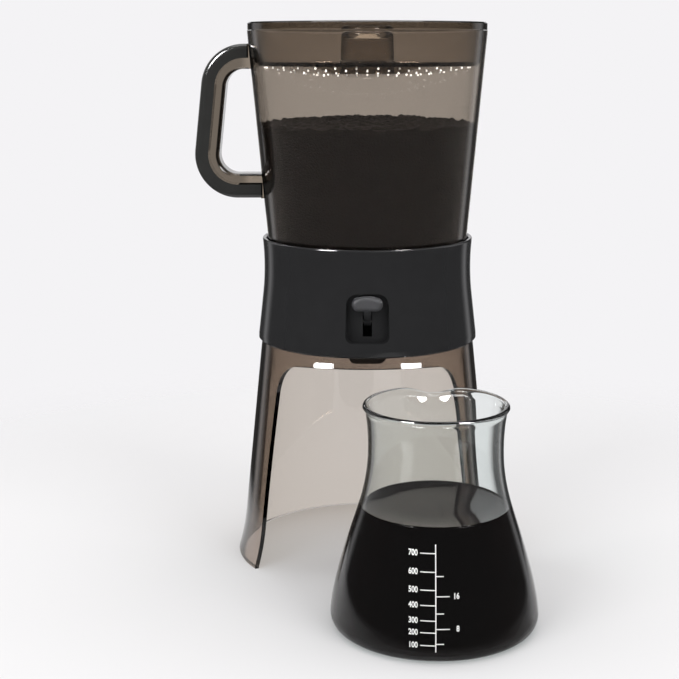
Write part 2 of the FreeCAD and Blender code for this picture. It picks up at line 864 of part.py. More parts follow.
def make_lift_arm():
    """Lift arm: the lever's nose raises its front pad, and its hub raises the lift pin."""
    body = new_body("lift_arm")
    pad_front = pivot_y + dim("hub_radius") + 2 * dim("side_gap")
    post_front = pivot_y + crank + dim("nose_radius") + dim("arm_clearance")
    post_back = post_front + dim("arm_thickness")
    pad_top = pad_bottom + dim("arm_thickness")
    hub = 2 * dim("pin_radius")
    extrude(body, polygon([
        (pad_front, pad_bottom),
        (post_front, pad_bottom),
        (post_front, arm_bottom),
        (0, arm_bottom),
        (0, arm_top),
        (post_back, arm_top),
        (post_back, pad_top),
        (pad_front, pad_top),
    ]), "YZ_Plane", dim("arm_width"), symmetric=True)
    extrude(body, disc((0, 0), hub), "XY_Plane", dim("arm_thickness"), lift=arm_bottom)
    extrude(body, disc((0, 0), dim("pin_radius") - dim("pin_step")), "XY_Plane", dim("arm_thickness") + 2,
            kind="Pocket", lift=arm_bottom - 1, reverse=True)
    return body


def make_lift_pin():
    """Lift pin: pressed in the arm's hub, it slides in the funnel's guide."""
    body = new_body("lift_pin")
    radius = dim("pin_radius")
    shank = radius - dim("pin_step")
    bevel = dim("pin_bevel")
    turn(body, [
        (0, arm_bottom),
        (shank, arm_bottom),
        (shank, arm_top),
        (radius, arm_top),
        (radius, pin_top - bevel),
        (radius - bevel, pin_top),
        (0, pin_top),
    ])
    return body


# ---------------------------------------------------------------- jug


def handle_frame():
    """Centres of the handle's two bends, which every one of its outlines goes round."""
    top = (-(jug_radius(rim_height) + dim("handle_stand_off")),
           rim_height - dim("handle_top") - dim("handle_bend"))
    bottom = (top[0] - dim("handle_lean"), top[1] - dim("handle_span"))
    return top, bottom


def handle_band(outer, inner, top_end, bottom_end):
    """A C-shaped band between two distances from the bends' centres, open towards the jug."""
    (top_x, top_z), (low_x, low_z) = handle_frame()
    length = root(dim("handle_lean") * dim("handle_lean") + dim("handle_span") * dim("handle_span"))
    out_x = -(dim("handle_span") / length)
    out_z = dim("handle_lean") / length
    diagonal = as_size(math.sqrt(0.5))

    def points(radius):
        return {
            "top": (top_x, top_z + radius),
            "top_mid": (top_x - radius * diagonal, top_z + radius * diagonal),
            "top_side": (top_x + radius * out_x, top_z + radius * out_z),
            "low_side": (low_x + radius * out_x, low_z + radius * out_z),
            "low_mid": (low_x - radius * diagonal, low_z - radius * diagonal),
            "low": (low_x, low_z - radius),
        }

    far = points(outer)
    near = points(inner)
    return [
        (top_end, far["top"][1]),
        far["top"],
        ("arc", far["top_mid"], far["top_side"]),
        far["low_side"],
        ("arc", far["low_mid"], far["low"]),
        (bottom_end, far["low"][1]),
        (bottom_end, near["low"][1]),
        near["low"],
        ("arc", near["low_mid"], near["low_side"]),
        near["top_side"],
        ("arc", near["top_mid"], near["top"]),
        (top_end, near["top"][1]),
    ]


def grip_band():
    """The black strip round the handle's outside."""
    (top_x, _), (low_x, _) = handle_frame()
    bend = dim("handle_bend")
    return handle_band(bend, bend - dim("grip_thickness"),
                       top_x + dim("grip_lap_top"), low_x + dim("grip_lap_bottom"))


def band_edges(level):
    """Picks the long edges of a band's outer or inner face."""
    half = dim("handle_width").number / 2
    (top_x, top_z), (low_x, low_z) = handle_frame()

    def wanted(edge):
        box = edge.BoundBox
        if box.YLength > 1e-3 or abs(abs(box.YMin) - half) > 1e-3:
            return False
        middle = edge.valueAt((edge.FirstParameter + edge.LastParameter) / 2)
        high = min(max(middle.z, low_z.number), top_z.number)
        share = (high - low_z.number) / (top_z.number - low_z.number)
        centre_x = low_x.number + share * (top_x.number - low_x.number)
        if middle.z > top_z.number or middle.z < low_z.number:
            distance = math.hypot(min(middle.x - centre_x, 0), middle.z - high)
        else:
            distance = centre_x - middle.x
        return abs(distance - level) < 1.0

    return wanted


def make_jug():
    """Brewing jug: a drafted cup with a well and neck for the valve, and a moulded handle core."""
    body = new_body("brew_jug")
    wall = dim("jug_wall")
    neck = dim("neck_bore") + dim("floor_wall")
    well = dim("well_radius")
    flat_radius = dim("floor_flat")
    corner_z = floor_bottom + dim("floor_rise")
    top = jug_radius(rim_height)
    bevel = dim("floor_bevel")
    corner = jug_radius(corner_z)
    floor_slope = dim("floor_rise") / (corner - flat_radius)
    turn(body, [
        (0, neck_bottom),
        (neck, neck_bottom),
        (neck, well_bottom),
        (well, well_bottom),
        (well, floor_bottom),
        (flat_radius, floor_bottom),
        (corner - bevel, corner_z - bevel * floor_slope),
        (jug_radius(corner_z + bevel), corner_z + bevel),
        (top, rim_height),
        (0, rim_height),
    ])
    bend = dim("handle_bend")
    inner = bend - dim("handle_thickness")
    deep = dim("handle_width")
    root_x = -jug_radius(floor_top) / 2
    extrude(body, polygon(handle_band(bend, inner, root_x, root_x)), "XZ_Plane", deep, symmetric=True)
    round_edges(body, dim("core_round"), band_edges(inner.number))
    extrude(body, polygon(grip_band()), "XZ_Plane", deep + 2, kind="Pocket", symmetric=True)
    turn(body, [
        (0, neck_bottom - 1),
        (dim("neck_bore"), neck_bottom - 1),
        (dim("neck_bore"), seat_height),
        (well - dim("floor_wall"), seat_height),
        (well - dim("floor_wall"), floor_top),
        (flat_radius, floor_top),
        (corner - wall, corner_z + dim("floor_wall")),
        (top - wall, rim_height),
        (top - wall, rim_height + 1),
        (0, rim_height + 1),
    ], kind="Groove")
    return body


def make_grip():
    """Black grip strip, snapped round the outside of the handle."""
    body = new_body("handle_grip")
    extrude(body, polygon(grip_band()), "XZ_Plane", dim("handle_width"), symmetric=True)
    round_edges(body, dim("grip_round"), band_edges(dim("handle_bend").number))
    return body


def make_valve_cage():
    """Cage in the jug's neck that guides the stem and holds the spring."""
    body = new_body("valve_cage")
    bore = dim("valve_stem_radius") + dim("running_fit")
    sleeve = bore + dim("cage_sleeve")
    outer = dim("neck_bore") - dim("running_fit")
    turn(body, [
        (bore, cage_bottom),
        (outer, cage_bottom),
        (outer, cage_top),
        (bore, cage_top),
    ])
    cut_windows(body, sleeve, outer - dim("cage_rim"), cage_bottom, cage_top, dim("cage_spoke"))
    return body


def make_valve_spring():
    """Closing spring of square wire round the stem, between the cage and the stem's foot."""
    body = new_body("valve_spring")
    wire = dim("valve_wire")
    mean = dim("valve_stem_radius") + wire / 2 + dim("side_gap")
    start = foot_top + wire / 2 + dim("running_fit")
    height = dim("valve_spring_length") - wire - 2 * dim("running_fit")
    sketch = new_sketch(body, "XZ_Plane")
    half = wire / 2
    outline(sketch, [
        (mean + half, start - half),
        (mean + half, start + half),
        (mean - half, start + half),
        (mean - half, start - half),
    ])
    helix = body.newObject("PartDesign::AdditiveHelix", "valve_spring_helix")
    helix.Profile = sketch
    helix.ReferenceAxis = (sketch, ["V_Axis"])
    helix.Mode = "pitch-height-angle"
    bind(helix, "Pitch", height / dim("valve_coils"))
    bind(helix, "Height", height)
    doc.recompute()
    return body


def make_valve_stem():
    """Plunger: a foot for the lift pin, a stem in the cage and a head above the seat."""
    body = new_body("valve_stem")
    stem = dim("valve_stem_radius")
    head = dim("valve_head_radius")
    turn(body, [
        (0, stem_bottom),
        (dim("valve_foot_radius"), stem_bottom),
        (dim("valve_foot_radius"), foot_top),
        (stem, foot_top),
        (stem, head_bottom),
        (head, head_bottom),
        (head, (head_bottom + head_top) / 2),
        (head / 2, head_top),
        (0, head_top),
    ])
    return body


def make_valve_seal():
    """Silicone seal under the plunger's head, over the seat's rim."""
    body = new_body("valve_seal")
    turn(body, [
        (dim("valve_stem_radius"), seal_bottom),
        (dim("valve_head_radius") + dim("seal_overhang"), seal_bottom),
        (dim("valve_head_radius") + dim("seal_overhang"), head_bottom),
        (dim("valve_stem_radius"), head_bottom),
    ])
    return body


# ---------------------------------------------------------------- filter

filter_radius = dim("well_radius") - dim("floor_wall") - dim("valve_gap")
frame_radius = filter_radius - dim("gasket_wall")
mesh_radius = frame_radius - dim("frame_wall")


def make_filter_gasket():
    """Silicone gasket that plugs the filter into the jug's well."""
    body = new_body("filter_gasket")
    flange_bottom = floor_top + dim("valve_gap")
    turn(body, [
        (frame_radius, spoke_bottom),
        (filter_radius, spoke_bottom),
        (filter_radius, flange_bottom),
        (filter_radius + dim("filter_flange"), flange_bottom),
        (filter_radius + dim("filter_flange"), flange_bottom + dim("filter_flange_wall")),
        (frame_radius, flange_bottom + dim("gasket_wall")),
    ])
    return body


def make_filter_frame():
    """Filter frame: a rim with spokes under the mesh."""
    body = new_body("filter_frame")
    turn(body, [
        (0, spoke_bottom),
        (frame_radius, spoke_bottom),
        (frame_radius, floor_top),
        (mesh_radius, floor_top),
        (mesh_radius, mesh_bottom),
        (0, mesh_bottom),
    ])
    cut_windows(body, dim("frame_hub"), mesh_radius - dim("frame_ring"), spoke_bottom, mesh_bottom,
                dim("spoke_width"))
    return body


def make_filter_mesh():
    """Woven steel mesh disc, laid on the frame's spokes."""
    body = new_body("filter_mesh")
    extrude(body, disc((0, 0), mesh_radius - dim("running_fit")), "XY_Plane", dim("mesh_thickness"),
            lift=mesh_bottom)
    return body


# ---------------------------------------------------------------- water tray


def make_tray():
    """Water tray: a dish with rings of small six-sided rain holes round a hollow finger knob."""
    body = new_body("rain_tray")
    wall = dim("tray_wall")
    rim_bottom = rim_height + dim("tray_gap")
    rim_top = rim_bottom + dim("tray_rim")
    rim_radius = jug_radius(rim_height) - dim("tray_gap")
    inner_jug = dim("jug_wall") + dim("tray_side_gap")
    heel = rim_bottom - dim("tray_depth")
    side_top = jug_radius(rim_bottom) - inner_jug
    side_low = jug_radius(heel) - inner_jug
    knob, foot = dim("knob_radius"), dim("knob_foot")
    dish = dim("tray_dish")
    low = heel - dish
    knob_top = low + dim("knob_height") + wall

    def sag(radius):
        """How far the dish has risen from its centre at a radius."""
        return dish * radius * radius / (side_low * side_low)

    crown = (side_low + foot) / 2
    flare = low + wall + dim("knob_height") / 4
    bend = dim("knob_round")
    bow = bend * (1 - math.sqrt(0.5))
    waist = knob + bow
    heel_bevel, rim_bevel = dim("tray_heel"), dim("rim_bevel")
    hole_sides = 6
    turn(body, [
        (0, knob_top - wall),
        (knob - wall - bend, knob_top - wall),
        (knob - wall, knob_top - wall - bend),
        (waist - wall, flare + bend),
        ("arc", (foot - wall - bow, flare), (foot - wall, flare - bend)),
        (foot - wall, low + sag(foot)),
        (crown, low + sag(crown)),
        (side_low - heel_bevel, heel),
        (side_low, heel + heel_bevel),
        (side_top, rim_bottom),
        (rim_radius, rim_bottom),
        (rim_radius, rim_top - rim_bevel),
        (rim_radius - rim_bevel, rim_top),
        (side_top - wall, rim_top),
        (side_low - wall, heel + wall + heel_bevel / 2),
        (crown, low + wall + sag(crown)),
        (foot, low + wall + sag(foot)),
        ("arc", (foot - bow, flare), (waist, flare + bend)),
        (knob, knob_top - bend),
        ("arc", (knob - bow, knob_top - bow), (knob - bend, knob_top)),
        (0, knob_top),
    ])
    for ring in range(round(dim("hole_rings").number)):
        circle_radius = side_low - dim("hole_inset") - ring * dim("hole_circle_step")
        count = dim("hole_count") - ring * dim("hole_count_step")
        turned = (ring + 1) % 2 * 180 / count
        centre_x, centre_y = circle_radius * cosine(turned), circle_radius * sine(turned)
        corners = []
        for side in range(hole_sides):
            angle = 2 * math.pi * side / hole_sides
            corners.append((centre_x + dim("hole_radius") * math.cos(angle),
                            centre_y + dim("hole_radius") * math.sin(angle)))
        extrude(body, polygon(corners), "XY_Plane", dish + 3 * wall, kind="Pocket",
                lift=low - 1, reverse=True)
        around(body, [body.Tip], count)
    return body


# ---------------------------------------------------------------- carafe


def make_carafe():
    """Borosilicate carafe: a conical flask with a beaded rim and a pulled pouring lip."""
    body = new_body("glass_carafe")
    glass = dim("glass_wall")
    base, heel = dim("carafe_base"), dim("carafe_heel")
    shoulder, shoulder_z = dim("carafe_shoulder"), dim("carafe_shoulder_height")
    neck, neck_z = dim("carafe_neck"), dim("carafe_neck_height")
    rim_z = dim("arch_height") - dim("carafe_clearance")
    rim = dim("carafe_rim")

    side_bow, waist_rise, waist_share, upper_share = 1.3, 2.0, 0.26, 0.12
    heel_bow, heel_share = 1.8, 0.28

    def flask(inset, bottom, bead):
        """The flask's side from its heel to its rim, moved inwards, with or without its bead."""
        side_mid = ((base + shoulder) / 2 + side_bow - inset, (heel + shoulder_z) / 2)
        waist = (neck + (shoulder - neck) * waist_share - inset, (shoulder_z + neck_z) / 2 + waist_rise)
        upper = (neck + (rim - neck) * upper_share - inset, (neck_z + rim_z) / 2 - waist_rise)
        side = [
            ("arc", (base - heel_bow - inset, bottom + (heel - bottom) * heel_share), (base - inset, heel)),
            ("arc", side_mid, (shoulder - inset, shoulder_z)),
            ("arc", waist, (neck - inset, neck_z)),
            ("arc", upper, (rim - inset, rim_z - 2 * bead)),
        ]
        if bead.number > 0:
            side += [(rim + bead, rim_z - 1.5 * bead), (rim + bead, rim_z - bead / 2), (rim, rim_z)]
        return side

    flat_base = base - heel / 1.6
    turn(body, [(0, 0), (flat_base, 0)] + flask(as_size(0), as_size(0), dim("bead_radius")) + [(0, rim_z)])

    def lip_cone(kind, inset):
        """Lofts the pouring lip between a circle inside the neck and a wider one at the rim."""
        root_radius = dim("pour_root") - inset
        top_radius = dim("pour_radius") - inset
        places = (
            (rim_z - dim("pour_height"), root_radius, neck - dim("pour_root") - glass / 2),
            (rim_z + 1, top_radius, rim + dim("pour_lip") - dim("pour_radius")),
        )
        sketches = []
        for height, radius, out in places:
            sketch = new_sketch(body, "XY_Plane", height)
            circle(sketch, (0, out), radius)
            sketches.append(sketch)
        loft = body.newObject(f"PartDesign::{kind}", f"glass_carafe_{kind.lower()}")
        loft.Profile = sketches[0]
        loft.Sections = [sketches[1]]
        loft.Ruled = True
        doc.recompute()

    lip_cone("AdditiveLoft", as_size(0))
    above = rim_z + dim("pour_lip")
    turn(body, [(0, glass), (flat_base - glass / 2, glass)] + flask(glass, glass, as_size(0))
         + [(rim - glass, above), (0, above)], kind="Groove")
    lip_cone("SubtractiveLoft", glass)
    # the rim is level, and dips in a smooth notch at the lip
    beyond = rim + dim("pour_lip") + 1
    extrude(body, rectangle(-beyond, rim_z, beyond, above), "XZ_Plane", 2 * beyond, kind="Pocket",
            symmetric=True)
    half = dim("pour_width") / 2
    extrude(body, polygon([
        (half, above),
        (-half, above),
        (-half, rim_z),
        ("arc", (0, rim_z - dim("pour_dip")), (half, rim_z)),
    ]), "XZ_Plane", beyond, kind="Pocket")
    bind(body, "Placement.Base.x", dim("carafe_x"))
    bind(body, "Placement.Base.y", -dim("carafe_y"))
    return body


# ---------------------------------------------------------------- build, check and write

bodies = [
    make_skirt(),
    make_collar(),
    make_funnel(),
    make_plate(),
    make_screws(),
    make_lever(),
    make_paddle(),
    make_pivot_pin(),
    make_lift_arm(),
    make_lift_pin(),
    make_jug(),
    make_grip(),
    make_valve_cage(),
    make_valve_spring(),
    make_valve_stem(),
    make_valve_seal(),
    make_filter_gasket(),
    make_filter_frame(),
    make_filter_mesh(),
    make_tray(),
    make_carafe(),
]
doc.recompute()

for item in doc.Objects:
    if "Invalid" in item.State or "Error" in item.State:
        raise RuntimeError(f"{item.Name} failed: {item.State}")
for body in bodies:
    if body.Shape.isNull() or not body.Shape.isValid() or body.Shape.Volume <= 0:
        raise RuntimeError(f"{body.Label} has no valid shape")
for body in bodies:
    body.Shape.exportStep(f"parts/{body.Label}.step")
    print(f"{body.Label}: {len(body.Shape.Solids)} solid(s), {body.Shape.Volume / 1000:.2f} cm3")
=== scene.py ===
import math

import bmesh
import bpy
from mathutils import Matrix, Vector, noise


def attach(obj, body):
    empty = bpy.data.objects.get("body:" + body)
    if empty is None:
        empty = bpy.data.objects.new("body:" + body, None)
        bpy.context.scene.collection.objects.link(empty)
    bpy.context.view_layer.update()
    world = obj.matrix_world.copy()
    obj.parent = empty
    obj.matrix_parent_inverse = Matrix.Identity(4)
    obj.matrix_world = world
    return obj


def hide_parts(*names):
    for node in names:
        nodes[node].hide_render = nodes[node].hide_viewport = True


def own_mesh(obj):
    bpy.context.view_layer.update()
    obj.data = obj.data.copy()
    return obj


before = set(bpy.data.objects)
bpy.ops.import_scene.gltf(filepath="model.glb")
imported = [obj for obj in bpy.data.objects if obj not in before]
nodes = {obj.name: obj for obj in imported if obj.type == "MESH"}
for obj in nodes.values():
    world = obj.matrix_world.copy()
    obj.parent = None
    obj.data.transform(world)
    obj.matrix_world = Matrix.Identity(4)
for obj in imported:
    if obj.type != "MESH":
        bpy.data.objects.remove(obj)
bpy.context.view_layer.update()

# Looks of a cold brew coffee maker: a smoky jug on an arched stand with a black collar and a switch,
# and a glass carafe of coffee on the counter in front. The sizes of its pieces are in millimetres and
# turn to metres as a mesh is made. The studio is in metres.

scene = bpy.context.scene
MM = 0.001

# ---------------------------------------------------------------- sizes in millimetres

STAND_AXIS = Vector((0.0, 0.0, 0.0))
CARAFE = Vector((43.6, -143.0, 0.0))
GLASS_WALL = 2.4
RIM_HEIGHT = 147.4
POUR_REACH = 5.5
POUR_DIP = 6.0
POUR_START = 24.0
COFFEE_LEVEL = 80.5
GROUNDS_EDGE = 314.4
GROUNDS_CROWN = 4.2

# ---------------------------------------------------------------- colours and node helpers


def colour(code):
    """An sRGB hex colour as linear values."""
    channels = [int(code[i:i + 2], 16) / 255 for i in (1, 3, 5)]
    linear = [c / 12.92 if c <= 0.04045 else ((c + 0.055) / 1.055) ** 2.4 for c in channels]
    return (*linear, 1.0)


def per(mm):
    """Texture scale whose pattern repeats about every so many millimetres."""
    return 1.0 / (mm * MM)


def add(tree, kind, inputs=None, **settings):
    """Adds a node with its settings, values and links."""
    node = tree.nodes.new(kind)
    for name, value in settings.items():
        setattr(node, name, value)
    for name, value in (inputs or {}).items():
        if isinstance(value, bpy.types.NodeSocket):
            tree.links.new(value, node.inputs[name])
        else:
            node.inputs[name].default_value = value
    return node


def new_material(name):
    """An empty node material and its tree."""
    material = bpy.data.materials.new(name)
    material.use_nodes = True
    material.node_tree.nodes.clear()
    return material, material.node_tree


# ---------------------------------------------------------------- materials


COPOLYESTER_IOR = 1.54
GLASS_IOR = 1.47
COFFEE_IOR = 1.34
WATER_IOR = 1.33
SMEAR_MM = 9.0


def clear_material(name, tint, lamp_tint, depth_colour, density, ior, haze, wave_mm, wave, dark_end=None):
    """A see-through moulding: polished faces, a slow waviness, and a tint that deepens with thickness.
    lamp_tint is the share of the light for matt faces that each of its faces lets by. dark_end is an
    axis, where a darker stretch starts and is full along it, and the tint of that stretch. It is there
    for the look from the front alone: a real moulding probably has one tint all over."""
    material, tree = new_material(name)
    place = add(tree, "ShaderNodeTexCoord").outputs["Object"]
    base = colour(tint)
    if dark_end:
        axis, start_mm, full_mm, dark_tint = dark_end
        parts = add(tree, "ShaderNodeSeparateXYZ", {"Vector": place})
        share = add(tree, "ShaderNodeMapRange", {
            "Value": parts.outputs[axis], "From Min": start_mm * MM, "From Max": full_mm * MM})
        base = add(tree, "ShaderNodeMix", {
            "Factor": share.outputs["Result"], "A": colour(tint), "B": colour(dark_tint)},
            data_type="RGBA").outputs["Result"]
    flow = add(tree, "ShaderNodeTexNoise", {"Vector": place, "Scale": per(wave_mm), "Detail": 1.0})
    waviness = add(tree, "ShaderNodeBump", {
        "Height": flow.outputs["Fac"], "Strength": wave, "Distance": 1.0 * MM})
    smear = add(tree, "ShaderNodeTexNoise", {"Vector": place, "Scale": per(SMEAR_MM), "Detail": 4.0})
    rough = add(tree, "ShaderNodeMapRange", {
        "Value": smear.outputs["Fac"], "To Min": haze * 0.5, "To Max": haze * 1.5})
    wall = add(tree, "ShaderNodeBsdfPrincipled", {
        "Base Color": base, "Transmission Weight": 1.0, "IOR": ior,
        "Roughness": rough.outputs["Result"], "Normal": waviness.outputs["Normal"]})
    lamps = add(tree, "ShaderNodeBsdfTransparent", {"Color": colour(lamp_tint)})
    rays = add(tree, "ShaderNodeLightPath")
    lighting = add(tree, "ShaderNodeMath", {
        0: rays.outputs["Is Shadow Ray"], 1: rays.outputs["Is Diffuse Ray"]}, operation="MAXIMUM")
    both = add(tree, "ShaderNodeMixShader", {
        0: lighting.outputs["Value"], 1: wall.outputs[0], 2: lamps.outputs[0]})
    depth = add(tree, "ShaderNodeVolumeAbsorption", {"Color": colour(depth_colour), "Density": density})
    add(tree, "ShaderNodeOutputMaterial", {"Surface": both.outputs[0], "Volume": depth.outputs[0]})
    return material


def smoked_plastic(piece, tint, lamp_tint, density, dark_end):
    """Smoked copolyester, injection moulded and clear: grey-brown, and darker where more of it is seen."""
    return clear_material(
        f"copolyester_smoked_{piece}", tint, lamp_tint, "#AB9A7E", density,
        ior=COPOLYESTER_IOR, haze=0.02, wave_mm=26.0, wave=0.05, dark_end=dark_end)


def polished_edge():
    """Smoked copolyester in a thin polished lip: too thin to tint, it only mirrors the world's strips."""
    material, tree = new_material("copolyester_smoked_polished_edge")
    place = add(tree, "ShaderNodeTexCoord").outputs["Object"]
    flow = add(tree, "ShaderNodeTexNoise", {"Vector": place, "Scale": per(12.0), "Detail": 1.0})
    waviness = add(tree, "ShaderNodeBump", {
        "Height": flow.outputs["Fac"], "Strength": 0.05, "Distance": 1.0 * MM})
    through = add(tree, "ShaderNodeBsdfTransparent", {"Color": colour("#FFFFFF")})
    sheen = add(tree, "ShaderNodeBsdfGlossy", {"Roughness": 0.05, "Normal": waviness.outputs["Normal"]})
    facing = add(tree, "ShaderNodeFresnel", {"IOR": COPOLYESTER_IOR})
    both = add(tree, "ShaderNodeMixShader", {
        0: facing.outputs["Fac"], 1: through.outputs[0], 2: sheen.outputs[0]})
    add(tree, "ShaderNodeOutputMaterial", {"Surface": both.outputs[0]})
    return material


def moulded_plastic(name, base, rough, grit_mm, grit, specular=0.5):
    """An opaque moulding: its roughness varies a little, and its tool left a fine grit."""
    material, tree = new_material(name)
    place = add(tree, "ShaderNodeTexCoord").outputs["Object"]
    patches = add(tree, "ShaderNodeTexNoise", {"Vector": place, "Scale": per(14.0), "Detail": 5.0})
    spread = add(tree, "ShaderNodeMapRange", {
        "Value": patches.outputs["Fac"], "To Min": rough * 0.75, "To Max": rough * 1.3})
    tone = add(tree, "ShaderNodeMapRange", {
        "Value": patches.outputs["Fac"], "To Min": 0.9, "To Max": 1.1})
    shade = add(tree, "ShaderNodeMix", {"Factor": 1.0, "A": colour(base)},
                data_type="RGBA", blend_type="MULTIPLY")
    tree.links.new(tone.outputs["Result"], shade.inputs["B"])
    grain = add(tree, "ShaderNodeTexNoise", {"Vector": place, "Scale": per(grit_mm), "Detail": 2.0})
    relief = add(tree, "ShaderNodeBump", {
        "Height": grain.outputs["Fac"], "Strength": grit, "Distance": 0.05 * MM})
    body = add(tree, "ShaderNodeBsdfPrincipled", {
        "Base Color": shade.outputs["Result"], "Roughness": spread.outputs["Result"],
        "Specular IOR Level": specular, "Normal": relief.outputs["Normal"]})
    add(tree, "ShaderNodeOutputMaterial", {"Surface": body.outputs[0]})
    return material


def drawn_steel():
    """Bright stainless steel, drawn or turned: fine lines along it spread the highlights."""
    material, tree = new_material("stainless_steel_drawn")
    place = add(tree, "ShaderNodeTexCoord").outputs["Object"]
    along = add(tree, "ShaderNodeMapping", {"Vector": place, "Scale": (1.0, 1.0, 0.05)})
    lines = add(tree, "ShaderNodeTexNoise", {
        "Vector": along.outputs["Vector"], "Scale": per(0.4), "Detail": 3.0})
    rough = add(tree, "ShaderNodeMapRange", {
        "Value": lines.outputs["Fac"], "To Min": 0.16, "To Max": 0.34})
    relief = add(tree, "ShaderNodeBump", {
        "Height": lines.outputs["Fac"], "Strength": 0.15, "Distance": 0.03 * MM})
    body = add(tree, "ShaderNodeBsdfPrincipled", {
        "Base Color": colour("#B9B8B4"), "Metallic": 1.0, "Roughness": rough.outputs["Result"],
        "Normal": relief.outputs["Normal"]})
    add(tree, "ShaderNodeOutputMaterial", {"Surface": body.outputs[0]})
    return material


# the wave texture repeats every tau / 20 at scale 1
MESH_PITCH_MM = 0.8
WAVE_REPEAT = math.tau / 20


def woven_mesh():
    """Stainless gauze in a plain weave: wires 0.4 mm apart, drawn at 0.8 mm so that they show."""
    material, tree = new_material("stainless_gauze_woven")
    place = add(tree, "ShaderNodeTexCoord").outputs["Object"]
    pitch = per(MESH_PITCH_MM) * WAVE_REPEAT
    warp = add(tree, "ShaderNodeTexWave", {"Vector": place, "Scale": pitch}, bands_direction="X")
    weft = add(tree, "ShaderNodeTexWave", {"Vector": place, "Scale": pitch}, bands_direction="Y")
    weave = add(tree, "ShaderNodeMath", {
        0: warp.outputs["Fac"], 1: weft.outputs["Fac"]}, operation="MAXIMUM")
    relief = add(tree, "ShaderNodeBump", {
        "Height": weave.outputs["Value"], "Strength": 0.8, "Distance": 0.2 * MM})
    tone = add(tree, "ShaderNodeMix", {
        "Factor": weave.outputs["Value"], "A": colour("#2B2A28"), "B": colour("#B4B2AC")}, data_type="RGBA")
    body = add(tree, "ShaderNodeBsdfPrincipled", {
        "Base Color": tone.outputs["Result"], "Metallic": 0.9, "Roughness": 0.35,
        "Normal": relief.outputs["Normal"]})
    add(tree, "ShaderNodeOutputMaterial", {"Surface": body.outputs[0]})
    return material


def wet_grounds():
    """Medium-ground roasted coffee, damp: near black with red-brown grains about 1 mm across, each painted
    lighter in its middle and darker at its edges, as shade between the grains.
    """
    material, tree = new_material("coffee_grounds_damp")
    place = add(tree, "ShaderNodeTexCoord").outputs["Object"]
    grains = add(tree, "ShaderNodeTexVoronoi", {"Vector": place, "Scale": per(1.3)})
    clumps = add(tree, "ShaderNodeTexNoise", {
        "Vector": place, "Scale": per(11.0), "Detail": 6.0, "Roughness": 0.65})
    tone = add(tree, "ShaderNodeMix", {
        "Factor": clumps.outputs["Fac"], "A": colour("#0B0807"), "B": colour("#231A17")}, data_type="RGBA")
    # painted shade: each grain lighter in its middle and darker towards the gaps between grains
    grain_shade = add(tree, "ShaderNodeMapRange", {
        "Value": grains.outputs["Distance"], "From Max": 0.9, "To Min": 1.25, "To Max": 0.35})
    shade = add(tree, "ShaderNodeMix", {"Factor": 1.0, "A": tone.outputs["Result"]},
                data_type="RGBA", blend_type="MULTIPLY")
    tree.links.new(grain_shade.outputs["Result"], shade.inputs["B"])
    relief = add(tree, "ShaderNodeBump", {
        "Height": grains.outputs["Distance"], "Strength": 0.7, "Distance": 0.6 * MM}, invert=True)
    body = add(tree, "ShaderNodeBsdfPrincipled", {
        "Base Color": shade.outputs["Result"], "Roughness": 0.7, "Specular IOR Level": 0.2,
        "Normal": relief.outputs["Normal"]})
    add(tree, "ShaderNodeOutputMaterial", {"Surface": body.outputs[0]})
    return material


def brewed_coffee(name, specular):
    """Strong cold coffee, black in depth, with a little painted brown glow where it is seen edge-on, as at
    its rim. Against glass it hardly mirrors.
    """
    material, tree = new_material(name)
    place = add(tree, "ShaderNodeTexCoord").outputs["Object"]
    edge = add(tree, "ShaderNodeLayerWeight", {"Blend": 0.25})
    cloud = add(tree, "ShaderNodeTexNoise", {"Vector": place, "Scale": per(30.0), "Detail": 2.0})
    # painted glow: browner where the surface is seen edge-on, set by the view and not by the light
    painted_glow = add(tree, "ShaderNodeMath", {
        0: edge.outputs["Facing"], 1: cloud.outputs["Fac"]}, operation="MULTIPLY")
    tone = add(tree, "ShaderNodeMix", {
        "Factor": painted_glow.outputs["Value"], "A": colour("#0A0808"), "B": colour("#2C160F")}, data_type="RGBA")
    body = add(tree, "ShaderNodeBsdfPrincipled", {
        "Base Color": tone.outputs["Result"], "Roughness": 0.05, "IOR": COFFEE_IOR,
        "Specular IOR Level": specular})
    add(tree, "ShaderNodeOutputMaterial", {"Surface": body.outputs[0]})
    return material


def water_bead():
    """A hanging drop of water. It glows in patches by itself, to stand in for the light that a real drop
    would gather."""
    material, tree = new_material("water_bead")
    place = add(tree, "ShaderNodeTexCoord").outputs["Object"]
    patches = add(tree, "ShaderNodeTexNoise", {"Vector": place, "Scale": per(9.0), "Detail": 2.0})
    gathered = add(tree, "ShaderNodeMapRange", {
        "Value": patches.outputs["Fac"], "From Min": 0.4, "From Max": 0.62, "To Min": 0.2, "To Max": 4.0})
    body = add(tree, "ShaderNodeBsdfPrincipled", {
        "Base Color": colour("#F4F6F7"), "Roughness": 0.05, "IOR": WATER_IOR,
        "Emission Color": colour("#FFFFFF"), "Emission Strength": gathered.outputs["Result"]})
    add(tree, "ShaderNodeOutputMaterial", {"Surface": body.outputs[0]})
    return material


SMOKED_STAND = smoked_plastic("stand", "#F3EFEB", "#FDFCFC", 150.0, ("Y", 10.0, -10.0, "#BDB0A7"))
SMOKED_JUG = smoked_plastic("jug", "#D3CDC6", "#F4F2F0", 60.0, ("X", -84.0, -89.0, "#ACA7A1"))
SMOKED_TRAY = smoked_plastic("tray", "#F6F3F0", "#F4F2F0", 220.0, ("Z", 379.2, 380.4, "#B2ADA7"))
POLISHED_EDGE = polished_edge()
GLASS = clear_material(
    "borosilicate_glass", "#F7FAF9", "#E9EEED", "#CFE0DA", 8.0,
    ior=GLASS_IOR, haze=0.004, wave_mm=40.0, wave=0.03)
WATER_BEAD = water_bead()
GRIP_BLACK = moulded_plastic("elastomer_gloss_black", "#343433", 0.16, 0.8, 0.08)
GLOSS_BLACK = moulded_plastic("abs_gloss_black", "#2A2A2B", 0.08, 1.2, 0.02, specular=0.6)
